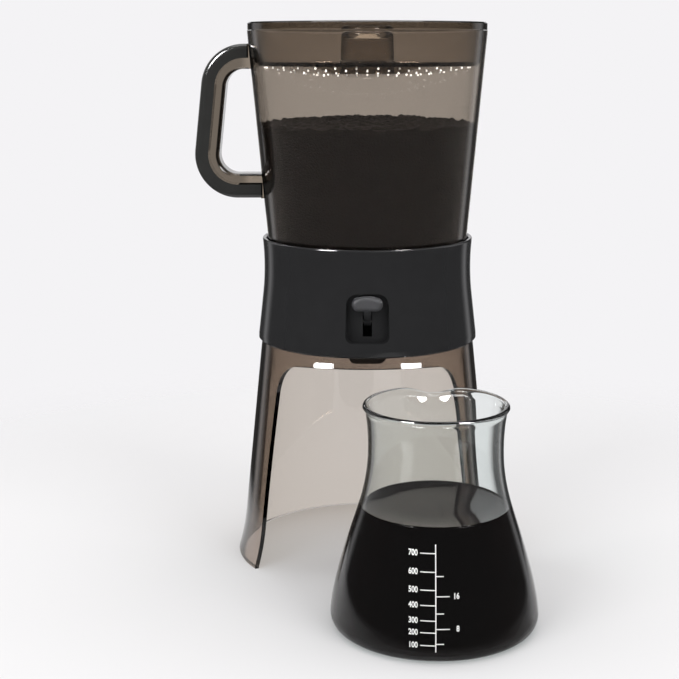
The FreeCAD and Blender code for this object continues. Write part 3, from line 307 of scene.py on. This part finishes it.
SATIN_BLACK = moulded_plastic("polypropylene_satin_black", "#1B1B1C", 0.42, 0.5, 0.35)
SOFT_GREY = moulded_plastic("elastomer_soft_grey", "#414143", 0.62, 0.35, 0.5, specular=0.25)
SILICONE = moulded_plastic("silicone_matte_grey", "#3A3A3B", 0.55, 0.6, 0.25, specular=0.4)
PRINT = moulded_plastic("enamel_print_white", "#F2F2F0", 0.4, 0.6, 0.2)
STEEL = drawn_steel()
GAUZE = woven_mesh()
GROUNDS = wet_grounds()
COFFEE = brewed_coffee("coffee_brewed_open_face", 0.5)
COFFEE_AT_GLASS = brewed_coffee("coffee_brewed_at_glass", 0.12)

NODE_FINISH = {
    "stand_skirt": SMOKED_STAND, "brew_jug": SMOKED_JUG, "rain_tray": SMOKED_TRAY,
    "collar_shell": GLOSS_BLACK, "handle_grip": GRIP_BLACK,
    "drain_funnel": SATIN_BLACK, "base_plate": SATIN_BLACK,
    "lift_arm": SATIN_BLACK, "valve_cage": SATIN_BLACK, "valve_stem": SATIN_BLACK,
    "filter_frame": SATIN_BLACK, "switch_paddle": SOFT_GREY, "switch_lever": SOFT_GREY,
    "valve_seal": SILICONE, "filter_gasket": SILICONE,
    "base_screws": STEEL, "pivot_pin": STEEL, "lift_pin": STEEL, "valve_spring": STEEL,
    "filter_mesh": GAUZE, "glass_carafe": GLASS,
}
for name, finish in NODE_FINISH.items():
    mesh = nodes[name].data
    mesh.materials.clear()
    mesh.materials.append(finish)

# ---------------------------------------------------------------- meshes


def finish_mesh(name, mesh, finish, body, replaces=()):
    """Makes a piece of a mesh in metres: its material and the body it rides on."""
    mesh.materials.append(finish)
    for face in mesh.polygons:
        face.use_smooth = True
    piece = bpy.data.objects.new(name, mesh)
    scene.collection.objects.link(piece)
    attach(piece, body)
    if replaces:
        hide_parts(*replaces)
    return piece


def turned_mesh(name, profile, steps, centre, shape=None):
    """Turns a profile of (radius, height) in millimetres, which runs from axis to axis, round an upright
    axis. shape may move each point by its radius, height and angle."""
    mesh_builder = bmesh.new()
    rings = []
    for radius, height in profile:
        if radius == 0:
            rings.append([mesh_builder.verts.new((centre + Vector((0, 0, height))) * MM)])
            continue
        ring = []
        for step in range(steps):
            angle = math.tau * step / steps
            r, z = shape(radius, height, angle) if shape else (radius, height)
            spot = centre + Vector((r * math.sin(angle), r * math.cos(angle), z))
            ring.append(mesh_builder.verts.new(spot * MM))
        rings.append(ring)
    for low, high in zip(rings, rings[1:]):
        for step in range(steps):
            after = (step + 1) % steps
            if len(low) == 1:
                mesh_builder.faces.new((low[0], high[after], high[step]))
            elif len(high) == 1:
                mesh_builder.faces.new((low[step], low[after], high[0]))
            else:
                mesh_builder.faces.new((low[step], low[after], high[after], high[step]))
    bmesh.ops.recalc_face_normals(mesh_builder, faces=mesh_builder.faces)
    mesh = bpy.data.meshes.new(name)
    mesh_builder.to_mesh(mesh)
    mesh_builder.free()
    return mesh


def smooth_line(points, per_span):
    """A smooth line through points, with so many steps in each span."""
    ends = [points[0], *points, points[-1]]
    line = []
    for before, start, end, after in zip(ends, ends[1:], ends[2:], ends[3:]):
        for step in range(per_span):
            t = step / per_span
            line.append(tuple(
                0.5 * (2 * b + (c - a) * t + (2 * a - 5 * b + 4 * c - d) * t * t
                       + (3 * b - a - 3 * c + d) * t ** 3)
                for a, b, c, d in zip(before, start, end, after)))
    line.append(points[-1])
    return line


# ---------------------------------------------------------------- closing spring

spring_mesh = nodes["valve_spring"].data.copy()
spring_mesh.transform(nodes["valve_spring"].matrix_world)
spring = bpy.data.objects.new("closing_spring", spring_mesh)
scene.collection.objects.link(spring)
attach(spring, "jug")
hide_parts("valve_spring")
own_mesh(spring)

# ---------------------------------------------------------------- carafe

# its outside from the foot to below the rim, as radius and height
FLASK_SIDE = smooth_line([
    (63.0, 0.35), (66.3, 2.9), (67.8, 7.0), (67.6, 11.5), (66.2, 21.3), (63.4, 34.0), (59.6, 48.0),
    (55.4, 62.0), (50.8, 76.0), (47.3, 88.0), (45.0, 99.0), (43.7, 110.0), (43.4, 122.0), (44.0, 134.0),
    (45.2, 142.6),
], 3)


def flask_radius(height):
    """Outside radius of the flask at a height."""
    for (low_r, low_z), (high_r, high_z) in zip(FLASK_SIDE, FLASK_SIDE[1:]):
        if low_z <= height <= high_z:
            return low_r + (high_r - low_r) * (height - low_z) / (high_z - low_z)
    return FLASK_SIDE[-1][0]


# in radians to each side of the lip
POUR_SPREAD = 0.27


def pulled_lip(radius, height, angle):
    """Draws the rim out and down into a pouring lip, at angle 0."""
    turn = (angle + math.pi) % math.tau - math.pi
    spread = math.exp(-(turn / POUR_SPREAD) ** 2)
    rise = max(0.0, (height - (RIM_HEIGHT - POUR_START)) / POUR_START)
    pull = spread * rise ** 2.2
    return radius + POUR_REACH * pull, height - POUR_DIP * spread * rise ** 3


bead = [(46.0, 143.8), (46.9, 145.2), (46.6, 146.6), (45.4, RIM_HEIGHT), (44.1, 146.9), (43.2, 145.6)]
# the hollow follows the side from this point of it up, and rounds off into the floor below it
HEEL = 10
inside = [(r - GLASS_WALL, z) for r, z in reversed(FLASK_SIDE[HEEL:])]
hollow = [*inside, (64.0, 8.2), (62.3, 5.0), (59.5, 3.4), (54.0, 2.9), (30.0, 2.5), (0.0, 2.3)]
underside = [(0.0, 0.9), (30.0, 0.9), (54.0, 0.5), (60.0, 0.0)]
flask_profile = [*underside, *FLASK_SIDE, *bead, *hollow]
finish_mesh("carafe_glass", turned_mesh("carafe_glass", flask_profile, 128, CARAFE, pulled_lip),
            GLASS, "carafe", ["glass_carafe"])

# the coffee fills the hollow, reaches a little into the glass so that no gap shows, and creeps up at
# its edge
SINK = 0.35
fill = [(r - GLASS_WALL + SINK, z) for r, z in FLASK_SIDE[HEEL:] if z < COFFEE_LEVEL]
surface_r = flask_radius(COFFEE_LEVEL) - GLASS_WALL + SINK
pool_floor = [(0.0, 1.9), (30.0, 2.1), (54.0, 2.5), (60.2, 3.0), (63.0, 4.8), (64.4, 8.2)]
creep = [(surface_r, COFFEE_LEVEL + 0.9), (surface_r - 0.9, COFFEE_LEVEL + 0.2)]
pool_face = [(surface_r - 2.4, COFFEE_LEVEL - 0.2), (surface_r / 2, COFFEE_LEVEL - 0.25),
             (0.0, COFFEE_LEVEL - 0.25)]
coffee_profile = [*pool_floor, *fill, *creep, *pool_face]
coffee = finish_mesh("carafe_coffee", turned_mesh("carafe_coffee", coffee_profile, 96, CARAFE),
                     COFFEE_AT_GLASS, "carafe")
coffee.data.materials.append(COFFEE)
for face in coffee.data.polygons:
    if face.center.z > (COFFEE_LEVEL - 0.5) * MM and face.normal.z > 0.3:
        face.material_index = 1

# volume marks printed on the flask's front
PRINT_LIFT = 0.06
PRINT_HEIGHT = 0.12
BEND_LENGTH = 1.5
MARK_LINE = -2.1
LINE_FOOT = 8.8
LINE_TOP = 72.0
LINE_HALF = 0.35
TICK_HALF = 0.3
LEFT_TICK = 9.5
RIGHT_TICK = 8.5
SHORT_TICK = 4.9
LEFT_NUMBERS = 11.0
RIGHT_NUMBERS = 14.5
DIGIT_HEIGHT = 3.4
CAPITAL_SHARE = 0.7
CONDENSED = 0.8
BOLDER = 0.12


def wrap_print(name, mesh):
    """Wraps flat print, drawn in millimetres across and up, round the flask's front."""
    for vertex in mesh.vertices:
        across, up, lift = vertex.co
        radius = flask_radius(up) + PRINT_LIFT + lift
        angle = across / flask_radius(up)
        vertex.co = (CARAFE + Vector((radius * math.sin(angle), -radius * math.cos(angle), up))) * MM
    mesh.update()
    finish_mesh(name, mesh, PRINT, "carafe")


def printed_bars(name, bars):
    """Bars given as left, bottom, right, top, cut into short lengths that can bend with the glass. Their
    faces point inwards, and come in another order each run."""
    builder = bmesh.new()
    for left, bottom, right, top in bars:
        columns = max(1, round((right - left) / BEND_LENGTH))
        rows = max(1, round((top - bottom) / BEND_LENGTH))
        for column in range(columns):
            for row in range(rows):
                x0 = left + (right - left) * column / columns
                x1 = left + (right - left) * (column + 1) / columns
                y0 = bottom + (top - bottom) * row / rows
                y1 = bottom + (top - bottom) * (row + 1) / rows
                corners = [(x0, y0, 0), (x1, y0, 0), (x1, y1, 0), (x0, y1, 0)]
                builder.faces.new([builder.verts.new(corner) for corner in corners])
        bmesh.ops.remove_doubles(builder, verts=builder.verts, dist=1e-4)
    bmesh.ops.solidify(builder, geom=builder.faces[:], thickness=-PRINT_HEIGHT)
    mesh = bpy.data.meshes.new(name)
    builder.to_mesh(mesh)
    builder.free()
    return mesh


def printed_number(name, text, right, middle):
    """A number, with its right end and the middle of its height."""
    curve = bpy.data.curves.new(name, "FONT")
    curve.body = text
    curve.size = DIGIT_HEIGHT / CAPITAL_SHARE
    curve.align_x = "RIGHT"
    curve.align_y = "CENTER"
    curve.extrude = PRINT_HEIGHT / 2
    curve.offset = BOLDER
    holder = bpy.data.objects.new(name, curve)
    scene.collection.objects.link(holder)
    bpy.context.view_layer.update()
    solid = holder.evaluated_get(bpy.context.evaluated_depsgraph_get())
    mesh = bpy.data.meshes.new_from_object(solid)
    bpy.data.objects.remove(holder)
    for vertex in mesh.vertices:
        x, y, z = vertex.co
        vertex.co = (x * CONDENSED + right, y + middle, z + PRINT_HEIGHT / 2)
    return mesh


# each number's height, and those of the ticks that carry none
LEFT_MARKS = {"100": 12.8, "200": 20.6, "300": 27.7, "400": 36.7, "500": 45.6, "600": 56.1, "700": 66.8}
RIGHT_MARKS = {"16": 42.0, "8": 22.8}
RIGHT_TICKS = (53.7, 32.0, 13.8)
bars = [(MARK_LINE - LINE_HALF, LINE_FOOT, MARK_LINE + LINE_HALF, LINE_TOP)]
bars += [(MARK_LINE - LEFT_TICK, z - TICK_HALF, MARK_LINE, z + TICK_HALF) for z in LEFT_MARKS.values()]
bars += [(MARK_LINE, z - TICK_HALF, MARK_LINE + RIGHT_TICK, z + TICK_HALF) for z in RIGHT_MARKS.values()]
bars += [(MARK_LINE, z - TICK_HALF, MARK_LINE + SHORT_TICK, z + TICK_HALF) for z in RIGHT_TICKS]
wrap_print("carafe_marks", printed_bars("carafe_marks", bars))
for marks, right in ((LEFT_MARKS, MARK_LINE - LEFT_NUMBERS), (RIGHT_MARKS, MARK_LINE + RIGHT_NUMBERS)):
    for text, z in marks.items():
        name = f"carafe_number_{text}"
        wrap_print(name, printed_number(name, text, right, z))

# ---------------------------------------------------------------- eave over the arch

# the skirt's radius where the collar's flange ends, and how it widens downwards
SKIRT_TOP_RADIUS = 76.8
SKIRT_TOP = 161.1
SKIRT_DRAFT = math.tan(math.radians(6.03))
ARCH_TOP = 153.4
ARCH_CROWN = 2.0
CROWN_SPAN = 0.8
EAVE_HALF = math.radians(34.0)
EAVE_STEPS = 60
EAVE_FADE = 6


def skirt_outside(height):
    """Outside radius of the stand's skirt at a height."""
    return SKIRT_TOP_RADIUS + (SKIRT_TOP - height) * SKIRT_DRAFT


def eave_mesh(name):
    """A thin eave along the arch's top edge, thinning out towards its ends. Its form is a guess: it is
    tuned, with the world's strips, so that they show on its leaning upper face as two glints."""
    builder = bmesh.new()
    sections = []
    for step in range(EAVE_STEPS + 1):
        along = 2 * step / EAVE_STEPS - 1
        angle = EAVE_HALF * along
        edge = ARCH_TOP - ARCH_CROWN * (math.tan(angle) / CROWN_SPAN) ** 2
        fade = min(1.0, (1 - abs(along)) * EAVE_FADE)
        corners = [(-0.3, 3.9), (0.06, 3.8), (1.0 * fade, 0.5), (0.8 * fade, 0.15), (-0.3, 0.1)]
        section = []
        for out, up in corners:
            radius = skirt_outside(edge + up) + out
            spot = Vector((radius * math.sin(angle), -radius * math.cos(angle), edge + up))
            section.append(builder.verts.new(spot * MM))
        sections.append(section)
    for near, far in zip(sections, sections[1:]):
        for index in range(len(near)):
            after = (index + 1) % len(near)
            builder.faces.new((near[index], near[after], far[after], far[index]))
    builder.faces.new(sections[0])
    builder.faces.new(reversed(sections[-1]))
    bmesh.ops.recalc_face_normals(builder, faces=builder.faces)
    mesh = bpy.data.meshes.new(name)
    builder.to_mesh(mesh)
    builder.free()
    return mesh


eave = finish_mesh("arch_eave", eave_mesh("arch_eave"), POLISHED_EDGE, "stand")
for face in eave.data.polygons:
    face.use_smooth = False

# ---------------------------------------------------------------- coffee grounds

# the jug's outside radius at the top of the collar, and how it widens upwards
JUG_RADIUS = 71.65
COLLAR_TOP = 234.8
JUG_DRAFT = math.tan(math.radians(5.0))
JUG_WALL = 2.4
GROUNDS_GAP = 0.25
GROUNDS_BEVEL = 0.6
CROWN_RADIUS = 78.0
RING_STEP = 1.9
TOP_RINGS = 40


def jug_inside(height):
    """Inside radius of the jug at a height."""
    return JUG_RADIUS + (height - COLLAR_TOP) * JUG_DRAFT - JUG_WALL


def lumpy(radius, height, angle):
    """Heaps the grounds: a crown with clumps and crumbs on the top, and smooth sides."""
    spot = Vector((radius * math.sin(angle), radius * math.cos(angle), height))
    clump = noise.noise(spot / 13.0) * 1.6 + noise.noise(spot / 4.0) * 2.0 + noise.noise(spot / 1.9) * 1.3
    if height >= GROUNDS_EDGE - GROUNDS_BEVEL:
        crown = GROUNDS_CROWN * (1 - (radius / CROWN_RADIUS) ** 2)
        return radius, height + crown + clump
    return radius, height


bed = [(0.0, 217.0), (32.5, 217.2), (60.0, 217.4), (66.5, 217.6)]
side_heights = (218.2, 230.0, 250.0, 270.0, 290.0, 305.0, 312.0, GROUNDS_EDGE)
sides = [(jug_inside(z) - GROUNDS_GAP, z) for z in side_heights]
top_radius = sides[-1][0] - GROUNDS_BEVEL
tops = [(top_radius - step * RING_STEP, GROUNDS_EDGE) for step in range(TOP_RINGS)]
grounds_profile = [*bed, *sides, *tops, (0.0, GROUNDS_EDGE + GROUNDS_CROWN)]
finish_mesh("coffee_grounds", turned_mesh("coffee_grounds", grounds_profile, 220, STAND_AXIS, lumpy),
            GROUNDS, "filter")

# ---------------------------------------------------------------- drops under the tray

DROP_RADIUS = 0.65
DROP_SINK = 0.2
DROP_SPREAD = 0.35
# radius and number of holes of each ring
HOLE_RINGS = ((72.0, 32), (63.0, 28), (54.0, 24), (45.0, 20), (36.0, 16))


def dish_underside(radius):
    """Height of the dish's underside at a radius."""
    knob_side, bend, rim_side = (21.8, 347.55), (50.5, 350.4), (77.4, 355.4)
    (low_r, low_z), (high_r, high_z) = (knob_side, bend) if radius < bend[0] else (bend, rim_side)
    return low_z + (high_z - low_z) * (radius - low_r) / (high_r - low_r)


builder = bmesh.new()
for ring, (radius, count) in enumerate(HOLE_RINGS):
    for index in range(count):
        angle = math.tau * index / count + (math.pi / count if ring % 2 == 0 else 0.0)
        hang = DROP_SPREAD * noise.noise(Vector((radius, angle * 9.0, 0.0)))
        height = dish_underside(radius) - DROP_SINK + hang
        spot = Vector((radius * math.cos(angle), radius * math.sin(angle), height))
        drop = bmesh.ops.create_icosphere(builder, subdivisions=2, radius=DROP_RADIUS * MM)
        bmesh.ops.translate(builder, verts=drop["verts"], vec=spot * MM)
drops_mesh = bpy.data.meshes.new("rain_drops")
builder.to_mesh(drops_mesh)
builder.free()
finish_mesh("rain_drops", drops_mesh, WATER_BEAD, "tray")

# ---------------------------------------------------------------- floor, world, lamps and camera

PAPER = "#F4F3F5"
FLOOR_PAPER = "#E7E6E7"
FLOOR_HALF = 1.6
# the floor fades out between these distances from the stand's axis, sooner in mirrors and clear walls
FADE_START = 0.3
FADE_END = 0.62
MIRROR_FADE = 1.2
CLEAR_FADE = 6.0

# how bright the world's parts are, 1 being white
FLAG = 0.05
SWEEP = 0.97
PANEL = 0.6
STRIP = 90.0
PALE_ROOM = 0.55
SKYLIGHT = 0.72

# how far a level heading points to the back, 1 being straight back: where the sweep starts beyond its
# flags and is full, then the same for rays that go down to the floor
SWEEP_EDGE = 0.945
SWEEP_FULL = 0.975
LOW_EDGE = 0.976
LOW_FULL = 0.9875
# where the panel starts and is full, below and above the horizon, then where it ends and where the
# pale room starts
PANEL_START = (0.55, 0.2)
PANEL_FULL = (0.75, 0.38)
PANEL_END = (0.84, 0.7)
ROOM_START = (0.76, 0.68)
# how far a ray rises: what counts as low and as high
LOW_RAYS = (-0.14, -0.21)
HIGH_RAYS = (-0.05, 0.1)
# between what bounds the strips lie: sideways, towards the back, and up
STRIP_SIDE = (0.645, 0.87)
STRIP_BACK = (-1.1, -0.1)
STRIP_RISE = (0.38, 0.74)
STRIP_SOFT = 0.02


def studio_floor():
    """White matt paper: it keeps the shadows near the object and fades into the white behind."""
    material, tree = new_material("paper_white_floor")
    place = add(tree, "ShaderNodeTexCoord").outputs["Object"]
    fibre = add(tree, "ShaderNodeTexNoise", {"Vector": place, "Scale": per(3.0), "Detail": 3.0})
    relief = add(tree, "ShaderNodeBump", {
        "Height": fibre.outputs["Fac"], "Strength": 0.05, "Distance": 0.1 * MM})
    paper = add(tree, "ShaderNodeBsdfDiffuse", {
        "Color": colour(FLOOR_PAPER), "Normal": relief.outputs["Normal"]})
    away = add(tree, "ShaderNodeVectorMath", {0: place}, operation="LENGTH")
    rays = add(tree, "ShaderNodeLightPath")
    mirrored = add(tree, "ShaderNodeMath", {
        0: rays.outputs["Is Glossy Ray"], 1: MIRROR_FADE, 2: 1.0}, operation="MULTIPLY_ADD")
    direct = add(tree, "ShaderNodeMapRange", {
        "Value": rays.outputs["Diffuse Depth"], "To Min": CLEAR_FADE, "To Max": 0.0})
    sooner = add(tree, "ShaderNodeMath", {
        0: rays.outputs["Is Transmission Ray"], 1: direct.outputs["Result"], 2: mirrored.outputs["Value"]},
        operation="MULTIPLY_ADD")
    distance = add(tree, "ShaderNodeMath", {
        0: away.outputs["Value"], 1: sooner.outputs["Value"]}, operation="MULTIPLY")
    fade = add(tree, "ShaderNodeMapRange", {
        "Value": distance.outputs["Value"], "From Min": FADE_START, "From Max": FADE_END},
        interpolation_type="SMOOTHSTEP")
    gone = add(tree, "ShaderNodeBsdfTransparent")
    sheet = add(tree, "ShaderNodeMixShader", {
        0: fade.outputs["Result"], 1: paper.outputs[0], 2: gone.outputs[0]})
    add(tree, "ShaderNodeOutputMaterial", {"Surface": sheet.outputs[0]})
    return material


floor_mesh = bpy.data.meshes.new("studio_floor")
floor_corners = [(x * FLOOR_HALF, y * FLOOR_HALF, 0) for x, y in ((-1, -1), (1, -1), (1, 1), (-1, 1))]
floor_mesh.from_pydata(floor_corners, [], [(0, 1, 2, 3)])
floor_mesh.materials.append(studio_floor())
floor = bpy.data.objects.new("studio_floor", floor_mesh)
scene.collection.objects.link(floor)


def strip_window(tree, passed, value, low, high):
    """Lets a value through where another lies between two bounds of the strips, with soft edges."""
    rise = add(tree, "ShaderNodeMapRange", {
        "Value": value, "From Min": low - STRIP_SOFT, "From Max": low + STRIP_SOFT})
    fall = add(tree, "ShaderNodeMapRange", {
        "Value": value, "From Min": high + STRIP_SOFT, "From Max": high - STRIP_SOFT})
    between = add(tree, "ShaderNodeMath", {
        0: rise.outputs["Result"], 1: fall.outputs["Result"]}, operation="MULTIPLY")
    both = add(tree, "ShaderNodeMath", {0: passed, 1: between.outputs["Value"]}, operation="MULTIPLY")
    return both.outputs["Value"]


def studio_world():
    """White paper for the camera and plain white light for matt faces. Mirrors and clear walls see the
    sweep behind the object, a dark flag at each side of it, which keeps the edges of clear walls dark,
    and past the flags a pale room. Mirrors alone see a pale panel there, and two bright strips high up
    in front, one at each side."""
    world = bpy.data.worlds.new("studio")
    world.use_nodes = True
    tree = world.node_tree
    tree.nodes.clear()
    rays = add(tree, "ShaderNodeLightPath")
    direction = add(tree, "ShaderNodeTexCoord").outputs["Generated"]
    axes = add(tree, "ShaderNodeSeparateXYZ", {"Vector": direction})
    level = add(tree, "ShaderNodeVectorMath", {0: direction, 1: (1.0, 1.0, 0.0)}, operation="MULTIPLY")
    heading = add(tree, "ShaderNodeVectorMath", {0: level.outputs["Vector"]}, operation="NORMALIZE")
    ahead = add(tree, "ShaderNodeSeparateXYZ", {"Vector": heading.outputs["Vector"]})

    # the sweep, with a flag at each side
    low = add(tree, "ShaderNodeMapRange", {
        "Value": axes.outputs["Z"], "From Min": LOW_RAYS[0], "From Max": LOW_RAYS[1]})
    edge = add(tree, "ShaderNodeMapRange", {
        "Value": low.outputs["Result"], "To Min": SWEEP_EDGE, "To Max": LOW_EDGE})
    full = add(tree, "ShaderNodeMapRange", {
        "Value": low.outputs["Result"], "To Min": SWEEP_FULL, "To Max": LOW_FULL})
    sweep = add(tree, "ShaderNodeMapRange", {
        "Value": ahead.outputs["Y"], "From Min": edge.outputs["Result"], "From Max": full.outputs["Result"],
        "To Min": FLAG, "To Max": SWEEP}, interpolation_type="SMOOTHSTEP")

    # the panel, wider above the horizon, which only mirrors show
    high = add(tree, "ShaderNodeMapRange", {
        "Value": axes.outputs["Z"], "From Min": HIGH_RAYS[0], "From Max": HIGH_RAYS[1]})
    panel_edge = add(tree, "ShaderNodeMapRange", {
        "Value": high.outputs["Result"], "To Min": PANEL_START[0], "To Max": PANEL_START[1]})
    panel_full = add(tree, "ShaderNodeMapRange", {
        "Value": high.outputs["Result"], "To Min": PANEL_FULL[0], "To Max": PANEL_FULL[1]})
    panel_in = add(tree, "ShaderNodeMapRange", {
        "Value": ahead.outputs["Y"], "From Min": panel_edge.outputs["Result"],
        "From Max": panel_full.outputs["Result"]}, interpolation_type="SMOOTHSTEP")
    panel_out = add(tree, "ShaderNodeMapRange", {
        "Value": ahead.outputs["Y"], "From Min": PANEL_END[0], "From Max": PANEL_END[1]},
        interpolation_type="SMOOTHSTEP")
    panel = add(tree, "ShaderNodeMath", {
        0: panel_in.outputs["Result"], 1: panel_out.outputs["Result"]}, operation="MULTIPLY")
    mirrored_panel = add(tree, "ShaderNodeMath", {
        0: panel.outputs["Value"], 1: rays.outputs["Is Glossy Ray"]}, operation="MULTIPLY")
    with_panel = add(tree, "ShaderNodeMath", {
        0: mirrored_panel.outputs["Value"], 1: PANEL, 2: sweep.outputs["Result"]},
        operation="MULTIPLY_ADD")

    # the strips, which give the rims and the eave their glints
    sideways = add(tree, "ShaderNodeMath", {0: ahead.outputs["X"]}, operation="ABSOLUTE").outputs["Value"]
    strips = rays.outputs["Is Glossy Ray"]
    strips = strip_window(tree, strips, sideways, *STRIP_SIDE)
    strips = strip_window(tree, strips, ahead.outputs["Y"], *STRIP_BACK)
    strips = strip_window(tree, strips, axes.outputs["Z"], *STRIP_RISE)
    with_strips = add(tree, "ShaderNodeMath", {
        0: strips, 1: STRIP, 2: with_panel.outputs["Value"]}, operation="MULTIPLY_ADD")

    # the pale room past the flags, which only clear walls show
    past_flags = add(tree, "ShaderNodeMapRange", {
        "Value": ahead.outputs["Y"], "From Min": ROOM_START[0], "From Max": ROOM_START[1],
        "To Max": PALE_ROOM}, interpolation_type="SMOOTHSTEP")
    room = add(tree, "ShaderNodeMath", {
        0: past_flags.outputs["Result"], 1: rays.outputs["Is Transmission Ray"]}, operation="MULTIPLY")
    shown = add(tree, "ShaderNodeMath", {
        0: room.outputs["Value"], 1: with_strips.outputs["Value"]}, operation="MAXIMUM")

    # rays that matt faces send out see plain light, also after a mirror or a clear wall
    bent = add(tree, "ShaderNodeMath", {
        0: rays.outputs["Is Glossy Ray"], 1: rays.outputs["Is Transmission Ray"]}, operation="MAXIMUM")
    direct = add(tree, "ShaderNodeMapRange", {
        "Value": rays.outputs["Diffuse Depth"], "To Min": 1.0, "To Max": 0.0})
    seen = add(tree, "ShaderNodeMath", {
        0: bent.outputs["Value"], 1: direct.outputs["Result"]}, operation="MULTIPLY")
    paper = add(tree, "ShaderNodeBackground", {"Color": colour(PAPER), "Strength": 1.0})
    light = add(tree, "ShaderNodeBackground", {"Color": colour("#FFFFFF"), "Strength": SKYLIGHT})
    mirror = add(tree, "ShaderNodeBackground", {
        "Color": colour(PAPER), "Strength": shown.outputs["Value"]})
    plain = add(tree, "ShaderNodeMixShader", {
        0: seen.outputs["Value"], 1: light.outputs[0], 2: mirror.outputs[0]})
    both = add(tree, "ShaderNodeMixShader", {
        0: rays.outputs["Is Camera Ray"], 1: plain.outputs[0], 2: paper.outputs[0]})
    add(tree, "ShaderNodeOutputWorld", {"Surface": both.outputs[0]})
    return world


scene.world = studio_world()


MIDDLE = Vector((0.0, 0.0, 0.2))


def softbox(name, spot, width, height, watts, glints):
    """A rectangular lamp that faces the middle of the object. Without glints mirrors and clear walls
    don't show it."""
    lamp = bpy.data.lights.new(name, "AREA")
    lamp.shape = "RECTANGLE"
    lamp.size = width
    lamp.size_y = height
    lamp.energy = watts
    holder = bpy.data.objects.new(name, lamp)
    holder.location = spot
    holder.rotation_euler = (Vector(spot) - MIDDLE).to_track_quat("Z", "Y").to_euler()
    holder.visible_glossy = glints
    holder.visible_transmission = glints
    scene.collection.objects.link(holder)


softbox("softbox_left", (-1.10, -1.22, 1.30), 0.95, 0.45, 9.5, glints=False)
softbox("softbox_right", (1.10, -1.22, 1.30), 0.95, 0.45, 8.0, glints=False)
softbox("softbox_top", (0.0, 0.2, 1.6), 1.2, 1.0, 8.0, glints=True)

CAMERA_SPOT = (0.0, -0.993, 0.3698)
CAMERA_DIP = 12.04

camera_data = bpy.data.cameras.new("camera")
camera_data.sensor_width = 36.0
camera_data.lens = 73.4
camera_data.shift_x = -0.0411
camera = bpy.data.objects.new("camera", camera_data)
camera.location = CAMERA_SPOT
camera.rotation_euler = (math.radians(90 - CAMERA_DIP), 0.0, 0.0)
scene.collection.objects.link(camera)
scene.camera = camera

scene.view_settings.view_transform = "Standard"
